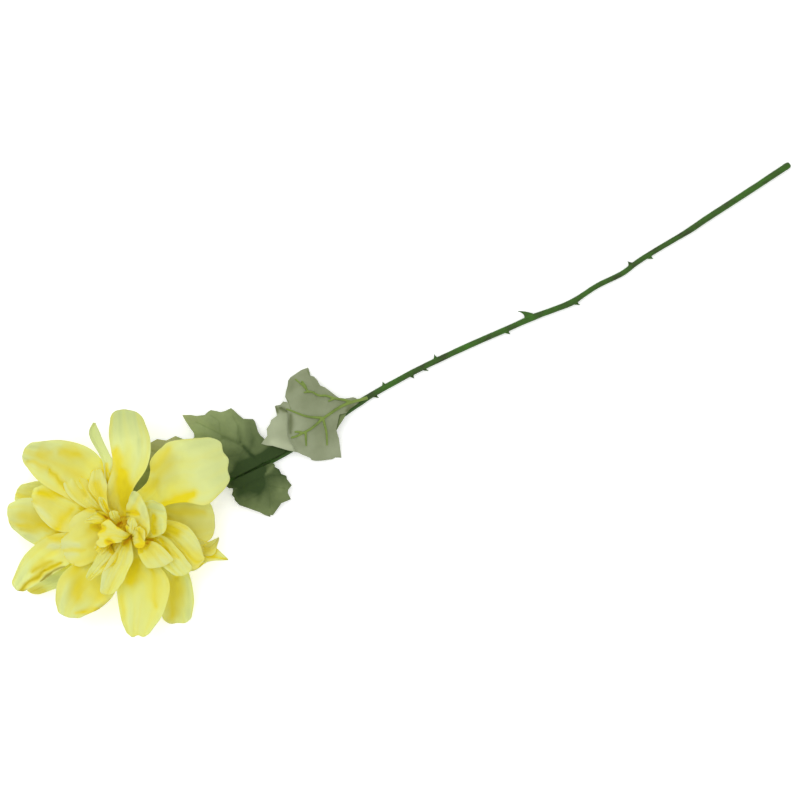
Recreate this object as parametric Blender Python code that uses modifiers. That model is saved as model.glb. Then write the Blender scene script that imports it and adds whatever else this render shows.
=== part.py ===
# A long-stemmed dahlia with fabric petals and leaves, lying on a table with its bloom turned up.
# +X runs along the stem to its cut end and +Z is up. The origin is the middle of its footprint.
# Plan places are measured from the heart, the point of the table straight below the bloom's centre.
import math

import bmesh
import bpy
from mathutils import Matrix, Vector

MM = 0.001
GAP = 0.35 * MM
WELD = 0.002 * MM

# Where the heart lies from the middle of the footprint
HEART = Vector((-253.2 * MM, -2.6 * MM, 0))

# Stem: a coated wire that turns up into the calyx and otherwise lies flat
# Its radius as (distance from the heart, radius), both in mm
STEM_RADII = [(0, 2.4), (396, 2.4), (408, 2.15), (500, 2.2), (515, 2.55), (604, 2.65)]
STEM_TOP = 13.2 * MM
STEM_SPANS = 3
STEM_ROUNDNESS = 3
# Swellings where the moulded sections meet, as distances from the heart
JOINTS = (213, 367, 402)
JOINT_RISE = 0.35
JOINT_SPREAD = 6
# The rounded cut end as (how far beyond the last point in mm, share of the radius there)
CUT_END = ((2.0, 1.06), (4.2, 0.95), (5.4, 0.6))
# The neck's points in mm, from the calyx down to the table, and where it has reached the table
STEM_NECK = [
    (0, 0, 13.2), (0, 0, 12.1), (0, 0, 11), (0.65, -0.15, 7.7), (2.5, -0.5, 4.9), (5.3, -0.85, 3.05),
    (8.6, -1.2, 2.4), (14, -1.75, 2.4), (21, -2.4, 2.4),
]
NECK_REACH = 8 * MM
# Plan points of the lying stretch, in mm, chosen by hand along the stem's slow bends
STEM_ROUTE = [
    (30, -3.2), (60, -4.8), (95, -6.3), (135, -8.4), (175, -6.0), (216, -0.7), (252, 0.1), (276, -0.4),
    (312, -2.5), (345, -5.3), (366, -6.8), (384, -9.3), (400, -11.2), (412, -10.3), (426, -9.2),
    (447, -10.1), (462, -7.9), (480, -6.6), (510, -5.4), (528, -3.6), (562, -0.9), (602, 2.6),
]
# Thorns as (distance in mm, side of the stem, reach beyond its surface in mm, lean to the cut end)
THORNS = [
    (226, -1, 2.7, 0.4), (237, 1, 2.6, 0.1), (258, -1, 2.7, 0.15), (269, -1, 2.5, 0.6),
    (283, 1, 3.2, 0.1), (342, -1, 2.4, 0.3), (366, 1, 7.6, -0.72), (401, -1, 3.0, 0.6),
    (457, 1, 3.0, -0.2), (471, -1, 2.4, 0.5),
]
THORN_RADIUS = 2.1 * MM
THORN_TIP_RADIUS = 0.12 * MM
THORN_SIDES = 6

# Calyx: a moulded cup with pointed sepals, under the petals
CALYX_BOTTOM = STEM_TOP + GAP
CALYX_TOP = 24.0 * MM
CALYX_PROFILE = [(3.4, 0.0), (4.6, 0.6), (6.6, 3.0), (9.4, 7.0), (10.4, 10.45)]
CALYX_STEPS = 16
SEPALS = 7
SEPAL_START = 12
# One sepal's edges as plan points in mm, from its root, and its heights at root, bend and tip
SEPAL_EDGE = [(5, 3.8), (14, 5), (24, 3.4), (30, 1.2)]
SEPAL_LIFT = (0.6, 0.6)
SEPAL_BULGE = 2
SEPAL_HEIGHTS = (19.5, 20, 15)

# Bloom: petals round a small core
CORE_RADIUS = 9.5 * MM
CORE_BOTTOM = CALYX_TOP + GAP
CORE_WAIST = CORE_BOTTOM + 4.5 * MM
CORE_TOP = 44.0 * MM
CORE_SEGMENTS = 16
CORE_RINGS = 10
# The petals' plan points are measured with the stem's far end this angle clockwise of them
BLOOM_TURN = math.radians(-28.4)
PETAL_THICKNESS = 0.8 * MM
PETAL_COLUMNS = 4
RUFFLE_SHIFT = 1.4
RUFFLES = 1.3
LINE_STEPS = 24
LINE_SPANS = 8
LOOK_AHEAD = 0.03
LIFT_START = 0.4
LIFT_POWER = 2.2
# Edges that start between these distances from the heart are drawn in to the nearer one, in the core
ROOT_REACH = 6
ROOT_LIMIT = 20

# Leaves: a fabric blade and, a little off one of its faces, a moulded frame of ribs with its petiole.
# Plan points are in mm. A blade's left and right edges run from its base to its tip, heights are
# those of its middle at base, bend and tip, and fall is how far an edge hangs lower at FALL_REACH,
# which grows from nothing at the base to the full fall at FALL_START of the way to the tip.
LEAF_THICKNESS = 0.8 * MM
LEAF_COLUMNS = 4
FALL_REACH = 30 * MM
FALL_START = 0.15
RIB_GAP = 0.5 * MM
RIB_PROBE = 0.2
RIB_RADIUS = 1.1 * MM
RIB_END_RADIUS = 0.7 * MM
SIDE_RIB_RADIUS = 0.75 * MM
SIDE_RIB_END_RADIUS = 0.5 * MM
RIB_STEP = 4.0 * MM
MAIN_RIB_ROUNDNESS = 1
SIDE_RIB_ROUNDNESS = 0
CURVE_STEPS = 12
LEAVES = [
    dict(
        name="leaf_1", look="pale_leaf", ribs_above=True, heights=(7.4, 18.6, 9.2), fall=(8.4, 5.2),
        middle=[(212, 1.2), (183, 1.8), (152, -0.4), (128, 7.4)],
        left=[(212, -0.8), (203, -2.2), (189, -8.6), (184.5, -17), (178.6, -33), (172, -30),
              (161, -26.5), (157, -22.5), (152.6, -17), (148.5, -11.2), (142, -6), (135, 1.4), (127.6, 6.6)],
        right=[(212, 3.4), (201, 9.7), (196.4, 20), (192, 32), (189, 43.5), (173, 42.8),
               (166.5, 35.5), (163, 27), (151, 29), (149.6, 21), (140.5, 17.7), (135, 10.7), (127.9, 8.2)],
        petiole=[(220, -0.6, 6.9), (214.5, 0.6, 9.3)],
        main=[(208, 1.8), (192, 2.4), (183, 2), (168, -0.7), (152, -0.2)],
        sides=[[(208, 1.6), (196, 12.5), (182.5, 26), (178, 38.5)], [(183, 2), (176, 5.8), (164, 16)],
               [(183, 2), (179, -7.5), (173, -19.5)], [(166, -0.6), (162, -5.5), (159, -11)]],
    ),
    dict(
        name="leaf_2", look="leaf", ribs_above=False, heights=(7, 17, 3), fall=(6, 12),
        middle=[(121, -6.3), (112, 14), (100, 33), (83.1, 57.8)],
        left=[(117, -6.2), (110, -5.8), (103, -5.4), (96, -5), (90, -2), (88, 11), (86, 21),
              (84.5, 33), (83, 37.5), (84.3, 40), (83.7, 44), (83.6, 50.3), (82.6, 57.3)],
        right=[(125, -6.4), (140, -6.6), (135.5, 3), (130.5, 14), (131.5, 23), (130.5, 28.5), (123.5, 32.5),
               (121.5, 40), (116, 45), (108, 47), (103.6, 50.4), (93, 52), (83.6, 58.3)],
        petiole=[(127, -4, 2.6), (123, -3.5, 3)],
        main=[(117.5, 0), (112, 14), (100, 33), (90, 47)],
        sides=[[(116, 6), (123, 13), (126, 22)], [(110, 17), (117, 27), (118, 37)],
               [(102, 30), (106, 39), (103, 46)], [(114, 9), (104, 9), (96, 13)],
               [(105, 25), (96, 27), (90, 33)]],
    ),
    dict(
        name="leaf_3", look="leaf", ribs_above=False, heights=(6.6, 13, 1.6), fall=(8, 4),
        middle=[(121, -9.8), (118, -22), (113, -34), (106, -47.4)],
        left=[(122.6, -9.9), (129.4, -10.6), (130, -15), (131, -19), (132.7, -25), (132, -29),
              (133.2, -33), (128.2, -36.7), (127, -42.4), (120.7, -42.3), (115, -43.5), (110.5, -47),
              (106.7, -47.8)],
        right=[(119.4, -9.6), (112, -9.2), (103, -8.8), (95, -8.4), (88.5, -10), (87, -16),
               (87, -22.5), (88.3, -27), (91.7, -32.3), (97.6, -38.2), (100.5, -41), (103, -45),
               (105.3, -47.7)],
        petiole=[(129, -12.3, 2.6), (125.5, -12.3, 2.8)],
        main=[(120.8, -14.5), (118, -22), (113, -34), (109, -41)],
        sides=[[(120, -17), (125, -20), (129, -22)], [(117, -25), (123, -30), (127, -33)],
               [(119.5, -18), (108, -16), (97, -16)], [(116, -27), (105, -27), (94, -27)]],
    ),
    dict(
        name="leaf_4", look="leaf", ribs_above=False, heights=(6.4, 12, 4), fall=(5, 5),
        middle=[(84, -2.6), (74, 15), (58, 33), (40, 52)],
        left=[(82, -2.7), (75, -2.4), (64, -0.8), (54, 3), (46, 9), (38, 14), (27, 16.5), (18, 22), (21, 32),
              (25, 41), (32, 46), (37, 52), (38.9, 52.5)],
        right=[(86, -2.4), (86.5, 5), (85.5, 13), (84.5, 20), (81, 28), (79.2, 37.2), (74, 41), (70.2, 45.7),
               (62, 46), (56, 50.5), (48, 50.5), (44, 55), (40.8, 53.2)],
        petiole=[(90, -2.1, 2.5), (87, -1.7, 2.8)],
        main=[(82.5, 2.5), (74, 15), (58, 33), (46, 46)],
        sides=[[(78, 10), (81, 18), (79, 27)], [(68, 22), (71, 31), (68, 40)],
               [(72, 17), (58, 14), (46, 16)], [(62, 29), (48, 28), (36, 32)]],
    ),
]

COLOURS = {
    "petal": (0.83, 0.80, 0.20),
    "stem": (0.09, 0.19, 0.06),
    "leaf": (0.16, 0.23, 0.10),
    "pale_leaf": (0.35, 0.40, 0.27),
    "rib": (0.25, 0.33, 0.10),
}
ROUGHNESS = 0.6


def petal(left, right, heights, **more):
    """A petal's shape: plan points of its two edges from root to tip, in mm from the heart.

    heights are those of its middle at root, bend and tip, lift is how far each edge stands over the
    middle, bulge rounds the tip, lobes and notch cut it, wave ruffles the edges, and rows says how
    many steps the petal has from root to tip. All are in mm but lobes, phase and rows."""
    shape = dict(
        left=left, right=right, heights=heights, lift=(2, 2), bulge=3, lobes=0, notch=0, wave=0.6, phase=0,
        rows=6,
    )
    shape.update(more)
    return shape


OUTER_PETALS = [
    petal([(-4, 6.5), (-6.5, 26.5), (-8, 53), (-12, 74.5), (-11, 87)],
          [(3, 6.5), (6.5, 29.5), (18.5, 49.5), (21, 69), (16, 85)],
          (30, 44, 34), lift=(3, 4), bulge=9, wave=0.6, phase=0.3, rows=7),
    petal([(3, 5), (14.5, 29.5), (22.5, 50.5), (36, 68), (66.5, 73)],
          [(7, 0), (28, 16), (48, 21), (65.5, 18.5), (77.5, 28)],
          (30, 43, 31), lift=(3, 3), bulge=12, lobes=3, notch=2.2, wave=1.2, phase=1.2, rows=7),
    petal([(6.5, 2.5), (28, 16), (52, 22.5), (65.5, 20)],
          [(7, -4), (32, -4), (52, -16), (65.5, -10.5)],
          (28, 30, 21), lift=(1.5, 1.5), bulge=7, wave=0.8, phase=2, rows=7),
    petal([(6.5, -1.5), (32, -1.5), (56, -8), (70.5, -14.5), (81, -24)],
          [(6.5, -6.5), (32, -19), (52, -34.5), (66.5, -27), (81, -25.5)],
          (27.5, 27, 17), lift=(2, 2), bulge=1.5, wave=0.8, phase=0.7, rows=7),
    petal([(57.5, -12), (68, -10.5), (75, -7)],
          [(61, -22.5), (71, -21), (75.5, -9)],
          (21, 23, 26), lift=(0, 0), bulge=0, wave=0.3, phase=0.1, rows=3),
    petal([(5.5, -5), (32, -13.5), (50.5, -34.5), (55, -56), (53, -72)],
          [(0, -7), (12, -29.5), (22.5, -49.5), (26.5, -64), (29.5, -73)],
          (27, 17, 0.4), lift=(4, 5), bulge=5, lobes=2, notch=0.8, wave=0.8, phase=1.2, rows=7),
    petal([(4, -6.5), (21.5, -22.5), (36, -43), (32, -65.5), (20, -85)],
          [(-2.5, -8), (-6.5, -27), (-5.5, -51), (-3, -72), (1.5, -85)],
          (30, 37, 25), lift=(5, 5), bulge=2.5, lobes=2, notch=1.8, wave=0.5, phase=2.6, rows=7),
    petal([(-1, -8), (-3, -25.5), (-6.5, -49.5), (-17.5, -62.5), (-34.5, -70.5)],
          [(-6.5, -5.5), (-26.5, -17.5), (-50.5, -37.5), (-55, -55), (-53, -65.5)],
          (30, 39, 26), lift=(5, 3), bulge=3.5, wave=0.5, phase=3.4, rows=7),
    petal([(-5.5, -7), (-28, -19), (-47, -30.5), (-64, -41), (-78.5, -49.5)],
          [(-6.5, -1.5), (-32, -1.5), (-60, -6.5), (-79, -20), (-89.5, -41.5)],
          (29, 38, 19), lift=(1.5, 3), bulge=5, wave=0.6, phase=0.9, rows=7),
    petal([(-4, -8), (-24, -27), (-42.5, -43), (-55, -48), (-68, -53)],
          [(-6.5, -6.5), (-29.5, -19), (-52, -30.5), (-69.5, -41.5), (-78.5, -48)],
          (26.8, 16, 0.4), lift=(2, 2), bulge=4, wave=0.6, phase=4, rows=7),
    petal([(-5, -3), (-32, -13.5), (-60, -17.5), (-76, -11), (-88, -1.5)],
          [(-5, 2.5), (-32, 14.5), (-60, 22.5), (-80, 24), (-90.5, 20)],
          (28.5, 34, 18), lift=(2, 2), bulge=5, wave=0.6, phase=1.7, rows=7),
    petal([(-5, 2.5), (-32, 13), (-60, 16), (-80, 16), (-88, 21.5)],
          [(-4, 5), (-28, 22.5), (-52, 34.5), (-69.5, 37.5), (-82.5, 34.5)],
          (27, 16, 0.4), lift=(1.5, 1.5), bulge=3, wave=0.6, phase=5, rows=7),
    petal([(-5.5, 4), (-29.5, 16), (-52, 27), (-68, 37.5), (-77.5, 49)],
          [(-2.5, 7), (-10.5, 38.5), (-24, 61.5), (-48, 70), (-69.5, 68.5)],
          (30, 40, 23), lift=(3, 4), bulge=8, wave=1, phase=2.2, rows=7),
    petal([(-5, 6.5), (-13.5, 30.5), (-17.5, 53), (-26.5, 71), (-25.5, 81.5)],
          [(0, 7), (-5.5, 30.5), (-9.5, 53), (-17, 69.5), (-22.5, 81.5)],
          (30, 43, 36), lift=(4, 0), bulge=2.5, wave=0.6, phase=0.4, rows=7),
]
MIDDLE_PETALS = [
    petal([(-9.5, 0), (-32, -4), (-53.5, -2.5), (-65, 5.5), (-71, 14.5)],
          [(-8, 6.5), (-28, 20), (-50.5, 31), (-61.5, 35), (-70.5, 32)],
          (31, 43, 28), lift=(2, 3), bulge=4, wave=0.8, phase=1, rows=6),
    petal([(-12, 6.5), (-31, 16), (-45.5, 27), (-50.5, 37.5)],
          [(-9, 9), (-21, 22.5), (-29.5, 37), (-35, 48)],
          (32, 44, 37), lift=(3, 3), bulge=5, wave=0.8, phase=2.9, rows=6),
    petal([(-10.5, 7), (-21, 20), (-28, 32), (-27, 42.5)],
          [(-5.5, 9), (-10.5, 22.5), (-12, 34.5), (-16, 45.5)],
          (33, 47, 41), lift=(3, 3), bulge=5, wave=0.8, phase=1.9, rows=6),
    petal([(-9.5, -9.5), (-21.5, -25.5), (-36, -30.5), (-47, -25.5)],
          [(-10.5, 6.5), (-25, 16), (-39, 11), (-49, -3)],
          (34, 49, 34), lift=(2, 2), bulge=6, wave=0.8, phase=2, rows=6),
    petal([(12, -1.5), (32, 6.5), (49, 2.5), (59, -10.5), (63, -22.5)],
          [(12, -6.5), (32, -11), (44, -24), (54.5, -33.5), (62.5, -26.5)],
          (31, 42, 29), lift=(-1, -5), bulge=1, wave=0.4, phase=2.4, rows=6),
    petal([(12, -5.5), (29.5, -5.5), (42.5, -16), (53, -29)],
          [(10.5, -10.5), (24, -18.5), (32, -30.5), (37.5, -36)],
          (34, 48, 33), lift=(1, 2), bulge=6, wave=0.8, phase=4.4, rows=6),
    petal([(6.5, -12), (6.5, -25.5), (1.5, -38.5), (-5.5, -48)],
          [(1.5, -13.5), (-5.5, -27), (-14.5, -37), (-19, -46.5)],
          (36, 52, 41), lift=(3, 3), bulge=6.5, wave=0.5, phase=0.4, rows=6),
    petal([(-4, -13.5), (-6.5, -25.5), (-15, -33), (-24, -40)],
          [(-10.5, -9.5), (-19, -17.5), (-25.5, -29.5), (-29.5, -37.5)],
          (36, 50, 42), lift=(3, 3), bulge=3, wave=0.5, phase=1.4, rows=6),
    petal([(12, -9.5), (21.5, -9.5), (29.5, -13.5), (38.5, -24)],
          [(9.5, -14.5), (11, -19), (13.5, -25.5), (17.5, -30.5)],
          (35, 54, 42), lift=(1, 1), bulge=4, wave=0.6, phase=3.4, rows=6),
    petal([(5.5, 6.5), (13.5, 18.5), (21.5, 22.5), (29.5, 20)],
          [(9, -3), (18.5, -7), (25, -6.5), (30.5, -4)],
          (35, 47, 52), lift=(3, 2), bulge=4.5, wave=0.8, phase=0.2, rows=6),
    petal([(1, 4), (2.5, 17.5), (6.5, 29)],
          [(9, -6.5), (15, -8), (20, -5)],
          (35, 50, 57), lift=(2, 2), bulge=8, wave=1, phase=5.4, rows=6),
]
INNER_PETALS = [
    petal([(-5.5, 0), (-15, 2.5), (-24, 4), (-30.5, 5)],
          [(-5, 5.5), (-13, 11.5), (-21.5, 13.5), (-28, 9)],
          (38, 54, 50), lift=(1, 2), bulge=1, wave=0.6, phase=0.5, rows=4),
    petal([(-6.5, 3), (-14.5, 13), (-19.5, 22.5)],
          [(-3, 5.5), (-10.5, 13.5), (-15, 23)],
          (36, 52, 55), lift=(1, 1), bulge=3, wave=0.4, phase=1.5, rows=4),
    petal([(-5.5, 3), (-9.5, 8), (-11, 12)],
          [(-1, 5), (-3, 9), (-4.5, 13)],
          (38, 54, 57), lift=(1, 1), bulge=2, wave=0.4, phase=2.5, rows=4),
    petal([(-4, -7), (-11, -13.5), (-17.5, -20)],
          [(-7, -2.5), (-17.5, -7), (-23, -14.5)],
          (36, 48, 46), lift=(1, 1), bulge=2, wave=0.4, phase=3.5, rows=4),
    petal([(7, -6), (0, -10.5), (-8, -11), (-15, -14.5), (-21, -15)],
          [(7, -3.5), (1, -2.5), (-5.5, 1.5), (-12, 6.5), (-15, 7)],
          (39, 60, 51), lift=(1, 3), bulge=3, lobes=3, notch=2.5, wave=0.6, phase=4.5, rows=4),
    petal([(2.5, -5), (2, 1.5), (4, 7)],
          [(9, -5.5), (11, 0), (10.5, 5.5)],
          (38, 58, 59), lift=(1, 1), bulge=2.5, wave=0.4, phase=5.5, rows=4),
    petal([(4.5, -2.5), (7, -3), (9.5, 0)],
          [(6.5, -7.5), (9.5, -14.5), (17, -13.5), (17, -2.5)],
          (37, 54, 59), lift=(0, 1.5), bulge=3, wave=0.4, phase=0.9, rows=4),
]


def blend(low, high, share):
    """The value at a share of the way from low to high."""
    return low + (high - low) * share


def ease(share):
    """A smooth step from 0 to 1."""
    share = min(max(share, 0), 1)
    return share * share * (3 - 2 * share)


def edge_place(line, share):
    """The point at a share of the way along a line of evenly spaced points."""
    index = min(max(share, 0), 1) * (len(line) - 1)
    low = min(int(index), len(line) - 2)
    return line[low].lerp(line[low + 1], index - low)


def rooted(line):
    """A petal's edge in plan, with its start drawn in to the core."""
    first = Vector(line[0])
    if ROOT_REACH < first.length < ROOT_LIMIT:
        return [first * (ROOT_REACH / first.length), *line]
    return line


def petal_place(shape, left, right, share, across):
    """A point of the petal's middle surface in mm: share runs root to tip, across edge to edge, -1 to 1."""
    near, far = max(share - LOOK_AHEAD, 0), min(share + LOOK_AHEAD, 1)
    ahead = edge_place(left, far) + edge_place(right, far) - edge_place(left, near) - edge_place(right, near)
    notch = shape["notch"] * (1 + math.cos(math.pi * shape["lobes"] * (across + 1))) / 2
    reach = shape["bulge"] * share ** 3 * math.sqrt(max(1 - across * across, 0)) - notch * share ** 6
    a, b = edge_place(left, share), edge_place(right, share)
    at = (a + b) / 2 + (b - a) / 2 * across + ahead.normalized() * reach
    low, bend, high = shape["heights"]
    height = low * (1 - share) ** 2 + 2 * bend * share * (1 - share) + high * share ** 2
    lift = shape["lift"][0 if across < 0 else 1]
    height += lift * abs(across) ** LIFT_POWER * ease(share / LIFT_START)
    phase = shape["phase"] + (RUFFLE_SHIFT if across > 0 else 0)
    height += shape["wave"] * math.sin(2 * math.pi * RUFFLES * share + phase) * across ** 2 * share
    return Vector((at.x, at.y, height))


def new_object(name, mesh, material, collection):
    """Puts a mesh in the scene as an object with one material."""
    made = bpy.data.objects.new(name, mesh)
    made.data.materials.append(material)
    collection.objects.link(made)
    return made


def sheet(name, columns, rows, place, thickness, material, collection):
    """A thin closed solid: a grid whose points place(row, column) gives, given its thickness."""
    mesh = bpy.data.meshes.new(name)
    grid = bmesh.new()
    bmesh.ops.create_grid(grid, x_segments=columns, y_segments=rows, size=0.5)
    for vertex in grid.verts:
        column = round((vertex.co.x + 0.5) * columns)
        row = round((vertex.co.y + 0.5) * rows)
        vertex.co = place(row, column)
    bmesh.ops.triangulate(grid, faces=grid.faces[:], quad_method="FIXED")
    grid.to_mesh(mesh)
    grid.free()
    made = new_object(name, mesh, material, collection)
    wall = made.modifiers.new("thickness", "SOLIDIFY")
    wall.thickness = thickness
    wall.offset = 0
    settle(made)
    for vertex in made.data.vertices:
        vertex.co.z = max(vertex.co.z, 0.0)
    return made


def settle(made):
    """Turns an object with its modifiers or its curve into a plain mesh in place."""
    evaluated = made.evaluated_get(bpy.context.evaluated_depsgraph_get())
    mesh = bpy.data.meshes.new_from_object(evaluated)
    if made.type == "MESH":
        made.modifiers.clear()
        made.data = mesh
    return mesh


def petal_sheet(name, shape, angle, material, collection, columns=PETAL_COLUMNS):
    """One petal or sepal as a thin solid, turned by an angle round the heart."""
    left, right = [even_line(rooted(shape[side]), LINE_STEPS, LINE_SPANS) for side in ("left", "right")]
    turn = Matrix.Rotation(angle, 3, "Z")
    rows = shape["rows"]

    def place(row, column):
        point = petal_place(shape, left, right, row / rows, 2 * column / columns - 1)
        point = turn @ point * MM + HEART
        point.z = max(point.z, PETAL_THICKNESS / 2)
        return point

    return sheet(name, columns, rows, place, PETAL_THICKNESS, material, collection)


def biggest_body(mesh):
    """Keeps the largest connected body of a mesh, dropping scraps and sealed hollows."""
    work = bmesh.new()
    work.from_mesh(mesh)
    left = set(work.verts)
    bodies = []
    while left:
        seed = left.pop()
        body, edge = {seed}, [seed]
        while edge:
            for link in edge.pop().link_edges:
                for vertex in link.verts:
                    if vertex in left:
                        left.discard(vertex)
                        body.add(vertex)
                        edge.append(vertex)
        bodies.append(body)
    bodies.sort(key=len, reverse=True)
    for body in bodies[1:]:
        bmesh.ops.delete(work, geom=list(body), context="VERTS")
    work.to_mesh(mesh)
    work.free()


def drop_doubled(work):
    """Deletes pairs of triangles that lie back to back on the same three vertices."""
    seen, doubled = {}, []
    for face in work.faces:
        corners = frozenset(face.verts)
        if corners in seen:
            doubled += [face, seen[corners]]
        seen[corners] = face
    bmesh.ops.delete(work, geom=doubled, context="FACES")


def turn_shared_edges(work):
    """Where four triangles share an edge, the two that lie in one plane get their other diagonal."""
    for edge in [e for e in work.edges if len(e.link_faces) > 2]:
        faces = edge.link_faces
        pairs = [(a.normal.dot(b.normal), i, j) for i, a in enumerate(faces) for j, b in enumerate(faces) if i < j]
        _, i, j = max(pairs)
        first, second = edge.verts
        top, = [v for v in faces[i].verts if v not in edge.verts]
        low, = [v for v in faces[j].verts if v not in edge.verts]
        flat = [faces[i], faces[j]]
        forward = any(a.vert == first and a.link_loop_next.vert == second for a in flat[0].loops)
        start, end = (first, second) if forward else (second, first)
        bmesh.ops.delete(work, geom=flat, context="FACES_ONLY")
        work.faces.new((start, low, top))
        work.faces.new((low, end, top))


def fuse(base, extras):
    """Joins every object of the collection extras to base by one Boolean union, then removes them."""
    join = base.modifiers.new("join", "BOOLEAN")
    join.operation = "UNION"
    join.operand_type = "COLLECTION"
    join.collection = extras
    join.solver = "EXACT"
    bpy.context.view_layer.update()
    settle(base)
    for extra in list(extras.objects):
        bpy.data.objects.remove(extra)
    bpy.data.collections.remove(extras)
    work = bmesh.new()
    work.from_mesh(base.data)
    bmesh.ops.remove_doubles(work, verts=work.verts[:], dist=WELD)
    bmesh.ops.dissolve_degenerate(work, edges=work.edges[:], dist=WELD)
    bmesh.ops.triangulate(work, faces=work.faces[:])
    drop_doubled(work)
    turn_shared_edges(work)
    work.to_mesh(base.data)
    work.free()
    biggest_body(base.data)


def new_collection(name):
    """A collection linked to the scene."""
    made = bpy.data.collections.new(name)
    bpy.context.scene.collection.children.link(made)
    return made


def material(name, colour, roughness):
    """A Principled material of one colour."""
    made = bpy.data.materials.new(name)
    made.use_nodes = True
    shader = made.node_tree.nodes["Principled BSDF"]
    shader.inputs["Base Color"].default_value = (*colour, 1)
    shader.inputs["Roughness"].default_value = roughness
    shader.inputs["Metallic"].default_value = 0
    made.diffuse_color = (*colour, 1)
    return made


def smooth(points, spans):
    """Points of a smooth curve through the given ones, with so many spans between each two."""
    ends = [2 * points[0] - points[1], *points, 2 * points[-1] - points[-2]]
    found = []
    for a, b, c, d in zip(ends, ends[1:], ends[2:], ends[3:]):
        for k in range(spans):
            t = k / spans
            found.append(0.5 * (2 * b + (c - a) * t + (2 * a - 5 * b + 4 * c - d) * t * t
                                + (3 * b - a - 3 * c + d) * t ** 3))
    found.append(points[-1].copy())
    return found


def tube(name, points, radii, roundness, look, collection):
    """A solid tube along points, with a radius for each, as a welded mesh."""
    curve = bpy.data.curves.new(name, "CURVE")
    curve.dimensions = "3D"
    curve.bevel_depth = 1.0
    curve.bevel_resolution = roundness
    curve.use_fill_caps = True
    spline = curve.splines.new("POLY")
    spline.points.add(len(points) - 1)
    for knot, at, radius in zip(spline.points, points, radii):
        knot.co = (*at, 1)
        knot.radius = radius
    made = bpy.data.objects.new(name + "_line", curve)
    collection.objects.link(made)
    bpy.context.view_layer.update()
    mesh = settle(made)
    bpy.data.objects.remove(made)
    work = bmesh.new()
    work.from_mesh(mesh)
    bmesh.ops.remove_doubles(work, verts=work.verts[:], dist=WELD)
    bmesh.ops.triangulate(work, faces=work.faces[:])
    bmesh.ops.recalc_face_normals(work, faces=work.faces[:])
    work.to_mesh(mesh)
    work.free()
    mesh.materials.clear()
    return new_object(name, mesh, look, collection)


def stem_radius(distance):
    """The stem's radius at a plan distance from the heart, all in metres: it swells at its joints."""
    at = distance / MM
    radius = STEM_RADII[-1][1]
    for (a, first), (b, last) in zip(STEM_RADII, STEM_RADII[1:]):
        if at <= b:
            radius = blend(first, last, min(max((at - a) / (b - a), 0), 1))
            break
    for joint in JOINTS:
        radius += JOINT_RISE * math.exp(-((at - joint) / JOINT_SPREAD) ** 2)
    return radius * MM


def stem_points():
    """The stem's middle line: down out of the calyx, round a quarter turn and along the table."""
    points = [Vector(p) * MM for p in STEM_NECK]
    for x, y in STEM_ROUTE:
        points.append(Vector((x * MM, y * MM, stem_radius(0))))
    points = smooth(points, STEM_SPANS)
    for at in points:
        if at.x > NECK_REACH:
            at.z = stem_radius(at.x)
    return points


def stem_place(distance):
    """The stem's middle point and direction at a plan distance from the heart."""
    points = stem_points()
    for a, b in zip(points, points[1:]):
        if a.x <= distance <= b.x and b.x > a.x:
            return a.lerp(b, (distance - a.x) / (b.x - a.x)), (b - a).normalized()
    return points[-1], (points[-1] - points[-2]).normalized()


def build_stem(parts, look):
    """The stem with its rounded cut end and its thorns."""
    points = stem_points()
    radii = [stem_radius(p.x) for p in points]
    along = (points[-1] - points[-2]).normalized()
    end = points[-1]
    for reach, share in CUT_END:
        radii.append(stem_radius(end.x) * share)
        points.append(end + along * reach * MM)
        points[-1].z = max(end.z, radii[-1])
    stem = tube("stem", [p + HEART for p in points], radii, STEM_ROUNDNESS, look, parts)
    thorns = new_collection("thorns")
    for distance, side, length, lean in THORNS:
        centre, along = stem_place(distance * MM)
        out = Vector((-along.y, along.x, 0)) * side
        aim = (out + along * lean) * (length * MM + stem_radius(distance * MM))
        bpy.ops.mesh.primitive_cone_add(
            vertices=THORN_SIDES, radius1=THORN_RADIUS, radius2=THORN_TIP_RADIUS, depth=aim.length,
        )
        thorn = bpy.context.active_object
        turn = aim.to_track_quat("Z", "Y").to_matrix().to_4x4()
        thorn.data.transform(Matrix.Translation(centre + aim / 2 + HEART) @ turn)
        for holder in list(thorn.users_collection):
            holder.objects.unlink(thorn)
        thorns.objects.link(thorn)
    fuse(stem, thorns)
    return stem


def build_calyx(parts, look):
    """The calyx: a turned cup with pointed sepals spreading from its rim."""
    work = bmesh.new()
    profile = [(0, 0), *CALYX_PROFILE, (0, CALYX_PROFILE[-1][1])]
    knots = [work.verts.new((r * MM, 0, z * MM + CALYX_BOTTOM)) for r, z in profile]
    for a, b in zip(knots, knots[1:]):
        work.edges.new((a, b))
    bmesh.ops.spin(
        work, geom=work.verts[:] + work.edges[:], axis=(0, 0, 1), cent=(0, 0, 0), angle=2 * math.pi,
        steps=CALYX_STEPS, use_merge=True,
    )
    bmesh.ops.remove_doubles(work, verts=work.verts[:], dist=WELD)
    bmesh.ops.recalc_face_normals(work, faces=work.faces[:])
    bmesh.ops.translate(work, verts=work.verts[:], vec=HEART)
    mesh = bpy.data.meshes.new("calyx")
    work.to_mesh(mesh)
    work.free()
    calyx = new_object("calyx", mesh, look, parts)
    sepals = new_collection("sepals")
    shape = petal(
        SEPAL_EDGE, [(x, -y) for x, y in SEPAL_EDGE], SEPAL_HEIGHTS, lift=SEPAL_LIFT, bulge=SEPAL_BULGE,
        wave=0, rows=5,
    )
    for i in range(SEPALS):
        angle = 2 * math.pi * i / SEPALS + math.radians(SEPAL_START)
        petal_sheet(f"sepal_{i}", shape, angle, look, sepals, columns=2)
    fuse(calyx, sepals)
    return calyx


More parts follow.
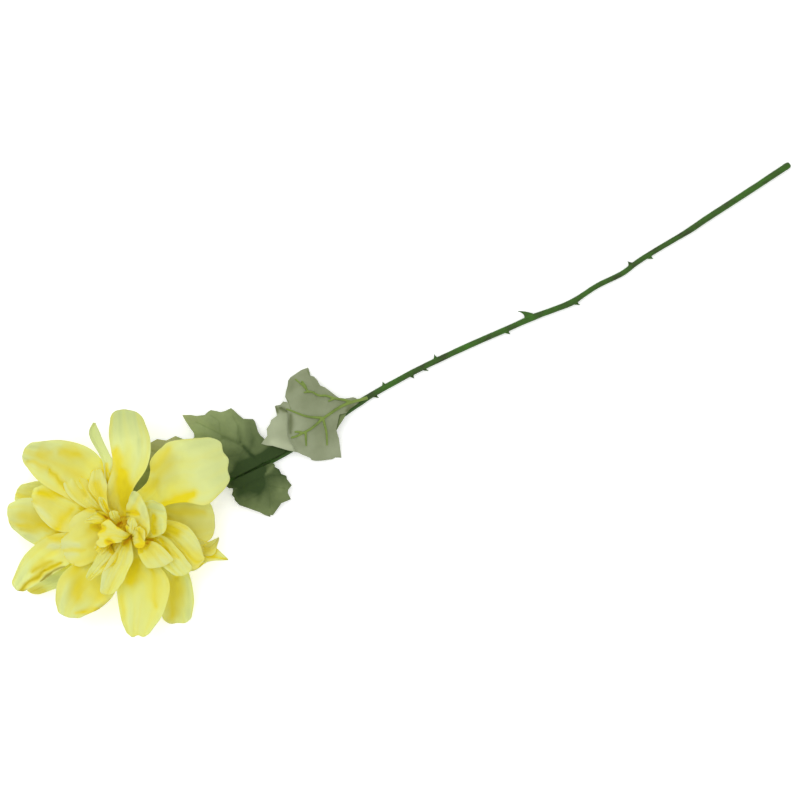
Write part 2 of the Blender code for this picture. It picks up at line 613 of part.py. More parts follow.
def build_bloom(parts, look):
    """The bloom: every petal joined to one small domed core."""
    mesh = bpy.data.meshes.new("bloom")
    work = bmesh.new()
    bmesh.ops.create_uvsphere(
        work, u_segments=CORE_SEGMENTS, v_segments=CORE_RINGS, radius=CORE_RADIUS,
    )
    for vertex in work.verts:
        stretch = (CORE_TOP - CORE_WAIST) / CORE_RADIUS if vertex.co.z > 0 else 1
        vertex.co.z = max(vertex.co.z * stretch + CORE_WAIST, CORE_BOTTOM)
        vertex.co += HEART
    work.to_mesh(mesh)
    work.free()
    bloom = new_object("bloom", mesh, look, parts)
    petals = new_collection("petals")
    for i, shape in enumerate(OUTER_PETALS + MIDDLE_PETALS + INNER_PETALS):
        petal_sheet(f"petal_{i}", shape, BLOOM_TURN, look, petals)
    fuse(bloom, petals)
    return bloom


def leaf_height(leaf, at):
    """How high a leaf's middle surface stands over the table at a plan point, in metres."""
    base, tip = Vector(leaf["middle"][0]) * MM, Vector(leaf["middle"][-1]) * MM
    along = (tip - base).normalized()
    reach = min(max((at - base).dot(along) / (tip - base).length, 0), 1)
    off = along.x * (at.y - base.y) - along.y * (at.x - base.x)
    low, bend, high = leaf["heights"]
    height = low * (1 - reach) ** 2 + 2 * bend * reach * (1 - reach) + high * reach ** 2
    fall = leaf["fall"][0 if off > 0 else 1] * ease(reach / FALL_START)
    return max((height - fall * (off / FALL_REACH) ** 2) * MM, LEAF_THICKNESS / 2)


def even_line(points, count, spans):
    """Points at even steps along a smooth line through the given ones, from first to last."""
    fine = smooth([Vector(p) for p in points], spans)
    lengths = [0.0]
    for a, b in zip(fine, fine[1:]):
        lengths.append(lengths[-1] + (b - a).length)
    found = []
    for k in range(count + 1):
        want = lengths[-1] * k / count
        i = min(max(sum(1 for reach in lengths if reach < want) - 1, 0), len(fine) - 2)
        found.append(fine[i].lerp(fine[i + 1], (want - lengths[i]) / (lengths[i + 1] - lengths[i])))
    return found


def spread(points, count):
    """Places in metres at even steps along a line through plan points given in mm."""
    return [at * MM for at in even_line(points, count, CURVE_STEPS)]


def build_blade(leaf, parts, look):
    """A leaf's blade: its middle line joined to its two cut edges."""
    rows = len(leaf["left"]) - 1
    middle = spread(leaf["middle"], rows)

    def place(row, column):
        across = 2 * column / LEAF_COLUMNS - 1
        edge = leaf["left"] if across < 0 else leaf["right"]
        at = middle[row].lerp(Vector(edge[row]) * MM, abs(across))
        return Vector((at.x, at.y, leaf_height(leaf, at))) + HEART

    return sheet(leaf["name"] + "_blade", LEAF_COLUMNS, rows, place, LEAF_THICKNESS, look, parts)


def rib_line(leaf, blade, points, radius, end_radius):
    """A rib's points and radii, a little off the blade's face along plan points given in mm."""
    rise = 1 if leaf["ribs_above"] else -1
    length = sum((Vector(b) - Vector(a)).length for a, b in zip(points, points[1:])) * MM
    count = max(3, round(length / RIB_STEP))
    line, radii = [], []
    for k, at in enumerate(spread(points, count)):
        start = Vector((at.x, at.y, rise * RIB_PROBE)) + HEART
        _, where, normal, _ = blade.ray_cast(start, Vector((0, 0, -rise)))
        width = blend(radius, end_radius, k / count)
        line.append(where + Vector((0, 0, rise * (RIB_GAP + width) / abs(normal.z))) - HEART)
        radii.append(width)
    return line, radii


def build_ribs(leaf, blade, parts, look):
    """A leaf's rib frame: the petiole and main rib with the side ribs fused to it."""
    bpy.context.view_layer.update()
    line, radii = rib_line(leaf, blade, leaf["main"], RIB_RADIUS, RIB_END_RADIUS)
    foot = [Vector(p) * MM for p in leaf["petiole"]]
    line, radii = foot + line, [RIB_RADIUS] * len(foot) + radii
    name = leaf["name"] + "_ribs"
    frame = tube(name, [p + HEART for p in line], radii, MAIN_RIB_ROUNDNESS, look, parts)
    branches = new_collection(name + "_sides")
    for i, side in enumerate(leaf["sides"]):
        line, radii = rib_line(leaf, blade, side, SIDE_RIB_RADIUS, SIDE_RIB_END_RADIUS)
        tube(f"{name}_{i}", [p + HEART for p in line], radii, SIDE_RIB_ROUNDNESS, look, branches)
    fuse(frame, branches)
    return frame


def main():
    """Clears the scene and builds every piece."""
    for old in list(bpy.data.objects):
        bpy.data.objects.remove(old)
    parts = new_collection("dahlia")
    looks = {name: material(name, colour, ROUGHNESS) for name, colour in COLOURS.items()}
    build_stem(parts, looks["stem"])
    build_calyx(parts, looks["stem"])
    build_bloom(parts, looks["petal"])
    for leaf in LEAVES:
        blade = build_blade(leaf, parts, looks[leaf["look"]])
        build_ribs(leaf, blade, parts, looks["rib"])


main()
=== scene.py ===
# The dahlia on its long stem: fine petals, leaves, ribs and stem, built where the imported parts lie.
import math

import bpy
from mathutils import Matrix, Vector, noise
from mathutils.bvhtree import BVHTree


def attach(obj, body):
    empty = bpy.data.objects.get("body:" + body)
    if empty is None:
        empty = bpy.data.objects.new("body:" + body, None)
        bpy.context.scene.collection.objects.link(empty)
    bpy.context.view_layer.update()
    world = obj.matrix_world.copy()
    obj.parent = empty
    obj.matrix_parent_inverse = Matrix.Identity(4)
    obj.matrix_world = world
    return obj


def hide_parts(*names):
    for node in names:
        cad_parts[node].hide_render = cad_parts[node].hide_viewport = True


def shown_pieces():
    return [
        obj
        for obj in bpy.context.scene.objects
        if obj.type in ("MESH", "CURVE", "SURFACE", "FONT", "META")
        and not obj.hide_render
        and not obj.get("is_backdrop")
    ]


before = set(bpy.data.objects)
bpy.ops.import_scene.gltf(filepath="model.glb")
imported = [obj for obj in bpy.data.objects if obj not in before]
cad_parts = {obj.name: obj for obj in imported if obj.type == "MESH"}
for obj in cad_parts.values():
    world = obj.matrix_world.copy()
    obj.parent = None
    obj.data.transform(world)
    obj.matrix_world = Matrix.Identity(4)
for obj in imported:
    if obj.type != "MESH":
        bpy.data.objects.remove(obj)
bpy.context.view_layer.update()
bpy.ops.object.select_all(action="DESELECT")
print("frame loaded:", ", ".join(sorted(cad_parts)))

mm = 0.001
seam = 0.000002  # corners nearer than this are one
askew = Vector((0.3, 1, 0.2))  # a direction that no tube runs in
heart = Vector((-253.2 * mm, -2.6 * mm, 0))  # the point of the table below the middle of the bloom


# Small helpers

def blend(low, high, share):
    return low + (high - low) * share


def clamp(value, low=0.0, high=1.0):
    return min(max(value, low), high)


def ease(share):
    share = clamp(share)
    return share * share * (3 - 2 * share)


def bow(heights, share):
    # a curve from the first height to the last, drawn towards the middle one
    low, bend, high = heights
    return low * (1 - share) ** 2 + 2 * bend * share * (1 - share) + high * share ** 2


def hump(off, width):
    return math.exp(-(off / width) ** 2)


def noiseSpot(at, scale, seed):
    return Vector((at.x * scale, at.y * scale, seed))


def active():
    return bpy.context.view_layer.objects.active


def pick(*pieces):
    bpy.ops.object.select_all(action="DESELECT")
    for piece in pieces:
        piece.select_set(True)
    bpy.context.view_layer.objects.active = pieces[0]


def applyAll(piece):
    pick(piece)
    for modifier in list(piece.modifiers):
        bpy.ops.object.modifier_apply(modifier=modifier.name)


def joinAs(name, pieces):
    pick(*pieces)
    if len(pieces) > 1:
        bpy.ops.object.join()
    piece = active()
    piece.name = name
    piece.data.name = name
    return piece


def makeGrid(name, across, along):
    # a square grid from -1 to 1 both ways, to be bent
    bpy.ops.mesh.primitive_grid_add(x_subdivisions=across, y_subdivisions=along, size=2)
    piece = active()
    piece.name = name
    return piece


def closeSeams(piece, fillEnds=False):
    pick(piece)
    bpy.ops.object.mode_set(mode="EDIT")
    bpy.ops.mesh.select_all(action="SELECT")
    bpy.ops.mesh.remove_doubles(threshold=seam)
    if fillEnds:
        bpy.ops.mesh.select_all(action="DESELECT")
        bpy.ops.mesh.select_non_manifold()
        bpy.ops.mesh.fill_holes(sides=0)
        bpy.ops.mesh.select_all(action="SELECT")
    bpy.ops.mesh.normals_make_consistent(inside=False)
    bpy.ops.object.mode_set(mode="OBJECT")


def thicken(piece, thickness, underSlot=0):
    # a wall both ways from the surface, its under face in another material slot if asked
    wall = piece.modifiers.new("wall", "SOLIDIFY")
    wall.thickness = thickness * mm
    wall.offset = 0
    wall.material_offset = underSlot
    applyAll(piece)
    bpy.ops.object.shade_smooth()


def dress(piece, *materials):
    piece.data.materials.clear()
    for material in materials:
        piece.data.materials.append(material)


def smoothLine(points, spans):
    ends = [2 * points[0] - points[1], *points, 2 * points[-1] - points[-2]]
    found = []
    for a, b, c, d in zip(ends, ends[1:], ends[2:], ends[3:]):
        for k in range(spans):
            t = k / spans
            found.append(0.5 * (2 * b + (c - a) * t + (2 * a - 5 * b + 4 * c - d) * t * t
                                + (3 * b - a - 3 * c + d) * t ** 3))
    found.append(points[-1].copy())
    return found


def evenLine(points, count):
    lengths = [0.0]
    for a, b in zip(points, points[1:]):
        lengths.append(lengths[-1] + (b - a).length)
    found = []
    i = 0
    for k in range(count + 1):
        want = lengths[-1] * k / count
        while i < len(points) - 2 and lengths[i + 1] < want:
            i += 1
        share = (want - lengths[i]) / max(lengths[i + 1] - lengths[i], 1e-9)
        found.append(points[i].lerp(points[i + 1], clamp(share)))
    return found


def writeUv(piece, spots):
    # spots holds a place in metres for each vertex, so that a weave keeps its size
    layer = piece.data.uv_layers[0]
    for loop in piece.data.loops:
        layer.data[loop.index].uv = spots[loop.vertex_index]


def writeAttribute(piece, name, values):
    layer = piece.data.attributes.new(name, "FLOAT", "POINT")
    layer.data.foreach_set("value", values)


# Node helpers

def makeMaterial(name, roughness, sheen=0.0, specular=0.25):
    material = bpy.data.materials.new(name)
    material.use_nodes = True
    shader = material.node_tree.nodes["Principled BSDF"]
    shader.inputs["Roughness"].default_value = roughness
    shader.inputs["Specular IOR Level"].default_value = specular
    shader.inputs["Sheen Weight"].default_value = sheen
    return material, material.node_tree, shader


def addNode(tree, kind, inputs=None, **settings):
    node = tree.nodes.new(kind)
    for key, value in settings.items():
        setattr(node, key, value)
    for key, value in (inputs or {}).items():
        if isinstance(value, bpy.types.NodeSocket):
            tree.links.new(value, node.inputs[key])
        else:
            node.inputs[key].default_value = value
    return node


def mathNode(tree, operation, first, second=0.0):
    return addNode(tree, "ShaderNodeMath", {0: first, 1: second}, operation=operation).outputs[0]


def mixColours(tree, share, first, second, kind="MIX"):
    inputs = {0: share, 6: first, 7: second}
    return addNode(tree, "ShaderNodeMix", inputs, data_type="RGBA", blend_type=kind).outputs[2]


def readAttribute(tree, name):
    return addNode(tree, "ShaderNodeAttribute", attribute_name=name).outputs["Fac"]


def placeGroup(tree, group, inputs):
    return addNode(tree, "ShaderNodeGroup", inputs, node_tree=group).outputs[0]


def setNormal(tree, shader, height, distance, strength):
    inputs = {"Height": height, "Distance": distance, "Strength": strength}
    bump = addNode(tree, "ShaderNodeBump", inputs)
    tree.links.new(bump.outputs[0], shader.inputs["Normal"])


def rgb(red, green, blue):
    return (red, green, blue, 1.0)


def makeGroup(name, inputs, output):
    group = bpy.data.node_groups.new(name, "ShaderNodeTree")
    for label, kind in inputs:
        group.interface.new_socket(name=label, in_out="INPUT", socket_type=kind)
    group.interface.new_socket(name=output, in_out="OUTPUT", socket_type="NodeSocketFloat")
    return group, group.nodes.new("NodeGroupInput").outputs, group.nodes.new("NodeGroupOutput").inputs


effects = {
    "widerThread": 0.5, "mottleDetail": 4.0, "mottleRough": 0.55, "mottleFrom": 0.3, "mottleTo": 0.7,
}


def makeWeaveGroup(values):
    # Crossing threads on a UV map in metres, as a height for bump
    group, given, gives = makeGroup(
        "clothWeave", [("Place", "NodeSocketVector"), ("Thread", "NodeSocketFloat")], "Height",
    )
    apart = addNode(group, "ShaderNodeSeparateXYZ", {0: given["Place"]})
    turns = mathNode(group, "DIVIDE", math.pi, given["Thread"])
    first, second = [
        mathNode(group, "SINE", mathNode(group, "MULTIPLY", apart.outputs[axis], turns))
        for axis in "XY"
    ]
    crossed = mathNode(group, "MULTIPLY", first, second)
    wide = mathNode(group, "MULTIPLY", mathNode(group, "ABSOLUTE", first), values["widerThread"])
    group.links.new(mathNode(group, "ADD", crossed, wide), gives["Height"])
    return group


def makeMottleGroup(values):
    # Soft uneven patches on Object coordinates, between two values
    group, given, gives = makeGroup(
        "softMottle",
        [("Place", "NodeSocketVector"), ("Scale", "NodeSocketFloat"), ("Low", "NodeSocketFloat"),
         ("High", "NodeSocketFloat")],
        "Value",
    )
    cloud = addNode(group, "ShaderNodeTexNoise", {
        "Vector": given["Place"], "Scale": given["Scale"], "Detail": values["mottleDetail"],
        "Roughness": values["mottleRough"],
    })
    reach = addNode(group, "ShaderNodeMapRange", {
        "Value": cloud.outputs["Fac"], "From Min": values["mottleFrom"], "From Max": values["mottleTo"],
        "To Min": given["Low"], "To Max": given["High"],
    })
    group.links.new(reach.outputs[0], gives["Value"])
    return group


weaveGroup = makeWeaveGroup(effects)
mottleGroup = makeMottleGroup(effects)
print("node groups made")


def startCloth(name, values):
    # a fabric material with its coordinates and the soft patches of its dye
    material, tree, shader = makeMaterial(name, values["roughness"], values["sheen"])
    place = addNode(tree, "ShaderNodeTexCoord").outputs
    patches = placeGroup(tree, mottleGroup, {
        "Place": place["Object"], "Scale": values["patchScale"],
        "Low": -values["patches"], "High": values["patches"],
    })
    return material, tree, shader, place, patches


def finishCloth(tree, shader, place, colour, values):
    # the weave on the surface, and the light that comes through the fabric
    tree.links.new(colour, shader.inputs["Base Color"])
    weave = placeGroup(tree, weaveGroup, {"Place": place["UV"], "Thread": values["thread"]})
    setNormal(tree, shader, weave, values["weaveDepth"], values["weaveStrength"])
    through = addNode(tree, "ShaderNodeBsdfTranslucent", {"Color": colour})
    both = addNode(tree, "ShaderNodeMixShader", {
        0: values["seeThrough"], 1: shader.outputs[0], 2: through.outputs[0],
    })
    tree.links.new(both.outputs[0], tree.nodes["Material Output"].inputs["Surface"])


# Camera, floor and light

camera = {
    "over": (242.2, -14.6), "level": 20, "away": 6.0, "width": 0.640, "sensor": 36.0, "turn": -28.4,
    "clipEnd": 50,
}


def makeCamera(values):
    over = heart + Vector((*values["over"], values["level"])) * mm
    bpy.ops.object.camera_add(
        location=over + Vector((0, 0, values["away"])), rotation=(0, 0, math.radians(values["turn"])),
    )
    made = active()
    made.name = "pictureCamera"
    made.data.sensor_width = values["sensor"]
    made.data.lens = values["sensor"] * values["away"] / values["width"]
    made.data.clip_end = values["clipEnd"]
    bpy.context.scene.camera = made


studio = {
    "floorColour": rgb(0.95, 0.95, 0.95), "floorGlow": 0.35, "floorSize": 24, "floorLevel": -0.0003,
    "floorRough": 0.9, "skyColour": rgb(1.0, 1.0, 1.0), "skyStrength": 0.84,
    "keyPower": 0.6, "keyAngle": 40, "keyFrom": (-0.16, 0.45, 0.88),
}


def makeStudio(values):
    bpy.ops.mesh.primitive_plane_add(size=values["floorSize"], location=(0, 0, values["floorLevel"]))
    floor = active()
    floor.name = "floor"
    material, tree, shader = makeMaterial("floorPaper", values["floorRough"])
    shader.inputs["Base Color"].default_value = values["floorColour"]
    shader.inputs["Emission Color"].default_value = values["floorColour"]
    shader.inputs["Emission Strength"].default_value = values["floorGlow"]
    floor.data.materials.append(material)
    floor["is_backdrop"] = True
    world = bpy.data.worlds.new("softSky")
    world.use_nodes = True
    sky = world.node_tree.nodes["Background"]
    sky.inputs[0].default_value = values["skyColour"]
    sky.inputs[1].default_value = values["skyStrength"]
    bpy.context.scene.world = world
    turn = Vector(values["keyFrom"]).to_track_quat("Z", "Y").to_euler()
    bpy.ops.object.light_add(type="SUN", rotation=turn)
    light = active()
    light.name = "keyLight"
    light.data.energy = values["keyPower"]
    light.data.angle = math.radians(values["keyAngle"])
    bpy.context.scene.view_settings.view_transform = "Standard"


makeCamera(camera)
makeStudio(studio)
print("camera, floor and light made")


# Petals: each is a grid bent into a cupped, fluted blade

# outer, pale and gold are petal colours, and gold also paints shade; deep is mostly painted shade of
# the deepest hollows, and line is the colour of painted shadow lines
petalCloth = {
    "outer": rgb(0.95, 0.92, 0.13), "pale": rgb(0.88, 0.94, 0.40), "pastPale": rgb(0.60, 0.69, 0.29),
    "gold": rgb(0.96, 0.84, 0.02), "goldFull": 0.75, "deepShade": rgb(0.86, 0.50, 0.005), "deepShadeFrom": 1.1,
    "deepShadeFull": 2.1, "line": rgb(0.44, 0.36, 0.05), "patchScale": 45.0, "patches": 0.10,
    # painted shade of the hollows: where it starts, where it is full, and how much gold it adds
    "hollowShadeFrom": 0.2, "hollowShadeTo": 0.8, "hollowShadeDye": 1.3,
    "roughness": 0.8, "sheen": 0.05, "seeThrough": 0.25,
    "thread": 0.0005, "weaveDepth": 0.00006, "weaveStrength": 0.6,
}


def makePetalCloth(values):
    material, tree, shader, place, patches = startCloth("petalCloth", values)
    # paleness: the petals' own pale tone, with painted highlights on rims, ridges and pale strokes
    paleAndLit = mathNode(tree, "ADD", readAttribute(tree, "paleAndLit"), patches)
    ground = mixColours(tree, paleAndLit, values["outer"], values["pale"])
    # past a paleness of 1 the colour turns darker and greener, mostly at the outer petals' tips
    ground = mixColours(tree, mathNode(tree, "SUBTRACT", paleAndLit, 1.0), ground, values["pastPale"])
    # painted shade: the more shut in a point is, the more gold, and deep orange in the deepest hollows
    hollowShaded = addNode(tree, "ShaderNodeMapRange", {
        "Value": readAttribute(tree, "hollowShade"), "From Min": values["hollowShadeFrom"],
        "From Max": values["hollowShadeTo"], "To Max": values["hollowShadeDye"],
    })
    # gold: the petals' own gold, and painted shade from grooves, strokes and hollows
    gold = mathNode(tree, "ADD", readAttribute(tree, "goldAndShade"), hollowShaded.outputs[0])
    dyeAndShade = addNode(tree, "ShaderNodeMapRange", {"Value": gold, "From Max": values["goldFull"]})
    goldAndShade = mixColours(tree, dyeAndShade.outputs[0], ground, values["gold"])
    # deep orange painted shade where gold and painted shade pile up
    deepShade = addNode(tree, "ShaderNodeMapRange", {
        "Value": gold, "From Min": values["deepShadeFrom"], "From Max": values["deepShadeFull"],
    })
    colour = mixColours(tree, deepShade.outputs[0], goldAndShade, values["deepShade"])
    # painted shadow lines in the creases and broad painted shade, multiplied over the colour
    colour = mixColours(tree, readAttribute(tree, "shadeLines"), colour, values["line"], "MULTIPLY")
    finishCloth(tree, shader, place, colour, values)
    return material


petalBuild = {
    "turn": -28.4, "spans": 12, "lineSteps": 48, "rooted": (6, 20), "thickness": 0.35, "floorGap": 0.1,
    "lookAhead": 0.03, "seedStep": 3.7, "seedDrift": 0.001,
    "rimNoise": 0.5, "rimScale": 2.3, "rimRow": 7, "edgeScale": 4.5, "edgeRows": (3.7, 9.1),
    "ruffleShift": 1.4, "liftPower": 2.2,
    "crumpleScale": 0.045, "crumpleFiner": 3.3, "crumpleShares": (1.6, 0.5),
    "fluteSeed": 7, "fluteAlong": 1.3, "fluteFiner": (2.7, 2.6, 4), "fluteFine": 0.4,
    "strokeWiden": 1.5, "strokeEnds": 0.55, "strokeDyeAndShade": 0.7, "strokeStray": 2.0, "strayScale": 0.13,
    "strayApart": 5, "shadeLineFrom": 2, "heartReach": 22,
    "edgeFree": 0.5, "liftFree": 0.4, "formFree": 0.3, "strokeFree": 0.15, "tipFrom": 0.5,
    "outer": (36, 76), "middle": (36, 64), "inner": (36, 48),
}

# painted shade in the creases of the bloom's heart, gold, orange and dark lines with a few pale
# highlights, as brush marks that all the petals there share
creases = [
    (-4.8, 2.4, 1.6, 4, 2.2, 1.95, -0.5), (1.6, 6, 4.8, 2.8, 0.5, 2.8, -0.8),
    (7.2, -4.8, -0.8, -10.4, 0.5, 2.9, -1.2), (5, -8, 0, -12, 1.8, 1.95, -0.5),
    (-13.6, -12, -9.6, -19.2, 1.8, 1.4, -0.8), (-9.2, -12.8, -8, -18.4, 0.5, 2.7, -0.8),
    (-14, -10.8, -10, -11.6, 0.5, 2.3, -0.5), (-14.5, -11.5, -9.5, -12.5, 2.2, 1.95, -0.3),
    (-23.2, 3.2, -14.4, 3.2, 0.5, 2.35, -0.8), (-25, 1.4, -15.5, 0.5, 2.8, 1.95, -0.4),
    (-21.6, 13.6, -12.8, 8, 0.5, 2.5, -0.8), (-20, 12, -12, 8, 1.4, 1.6, 0),
    (11, -15, 20, -11.2, 2.4, 1.8, -0.3), (-4, 5, 2, 1, 2.4, 1.5, 0),
    (-14.4, 8.8, -11.2, 8.8, 1.1, 1.5, -0.3), (-0.8, 12, 4.8, 12.8, 0.6, 2.5, -0.5),
    (0, 8.8, 4.8, 9.6, 0.5, 2.5, -0.6), (6.4, 12.8, 11.2, 12, 1.7, 1.8, -0.3),
    (9.6, 0, 17.6, -9.6, 0.5, 2.3, -0.8), (18.4, -10.4, 22.4, -8.8, 1.8, 1.9, -0.5),
    (10.4, -16.8, 14.4, -18.4, 1.6, 1.3, -0.5), (-37, 16.5, -20, 14, 1.4, 0.8, 0),
    (-19.2, 22.4, -16, 11.2, 1.2, -0.5, 0.3), (-28, 8, -16.8, 7.2, 1.4, -0.5, 0.3),
    (3.5, 1, 8, -2.5, 1.4, -0.5, 0.3), (13.6, -0.8, 17.6, -9.6, 0.9, -0.5, 0.3),
]

# what a petal has where its own values or its ring's don't say otherwise
plainPetal = {
    "lift": (2, 2), "bulge": 3, "lobes": 0, "notch": 0, "wave": 0.6, "waves": 1.3, "crumple": 0.9,
    "flutes": 2.2, "fluteDepth": 1.2, "fluteDye": 0.4, "ragged": 0.8, "gold": 0.0, "pale": 0.3,
    "rimHighlight": 0.2, "tipPale": 0.5, "heartDye": 0.4, "phase": 0, "strokes": [], "creases": [],
}
ringLooks = {
    "outer": {},
    "middle": {
        "wave": 0.8, "ragged": 1.5, "rimHighlight": 0.25, "pale": 0.25, "tipPale": 0.15, "flutes": 2.8,
        "heartDye": 0.2, "creases": creases,
    },
    "inner": {
        "wave": 0.4, "ragged": 1.2, "rimHighlight": 0.3, "pale": 0.25, "tipPale": 0.1, "flutes": 3.2,
        "fluteDepth": 1.0, "crumple": 1.4, "heartDye": 0.15, "creases": creases,
    },
}


def rooted(edge):
    # the edge's points with its start drawn in to the core
    points = [Vector(p) for p in edge]
    near, far = petalBuild["rooted"]
    if near < points[0].length < far:
        points.insert(0, points[0] * (near / points[0].length))
    return points


def petalShape(left, right, heights, **more):
    # Edges from root to tip in mm from the heart, with the picture's right and up as axes. Heights are
    # the middle's at root, bend and tip, lift is how far each edge stands over it, and bulge rounds the
    # tip. A stroke is a brush mark of painted light and shade (x, y, x, y, width, dye, relief): dye
    # from 0 to 2 lays gold, mostly as painted shade in valleys, below 0 it is a pale painted highlight
    # on ridges, and over 2 it is a dark painted shadow line or broad painted shade, as strong as what
    # is over 2.
    edges = [
        evenLine(smoothLine(rooted(edge), petalBuild["spans"]), petalBuild["lineSteps"])
        for edge in (left, right)
    ]
    return {"edges": edges, "heights": heights, **more}


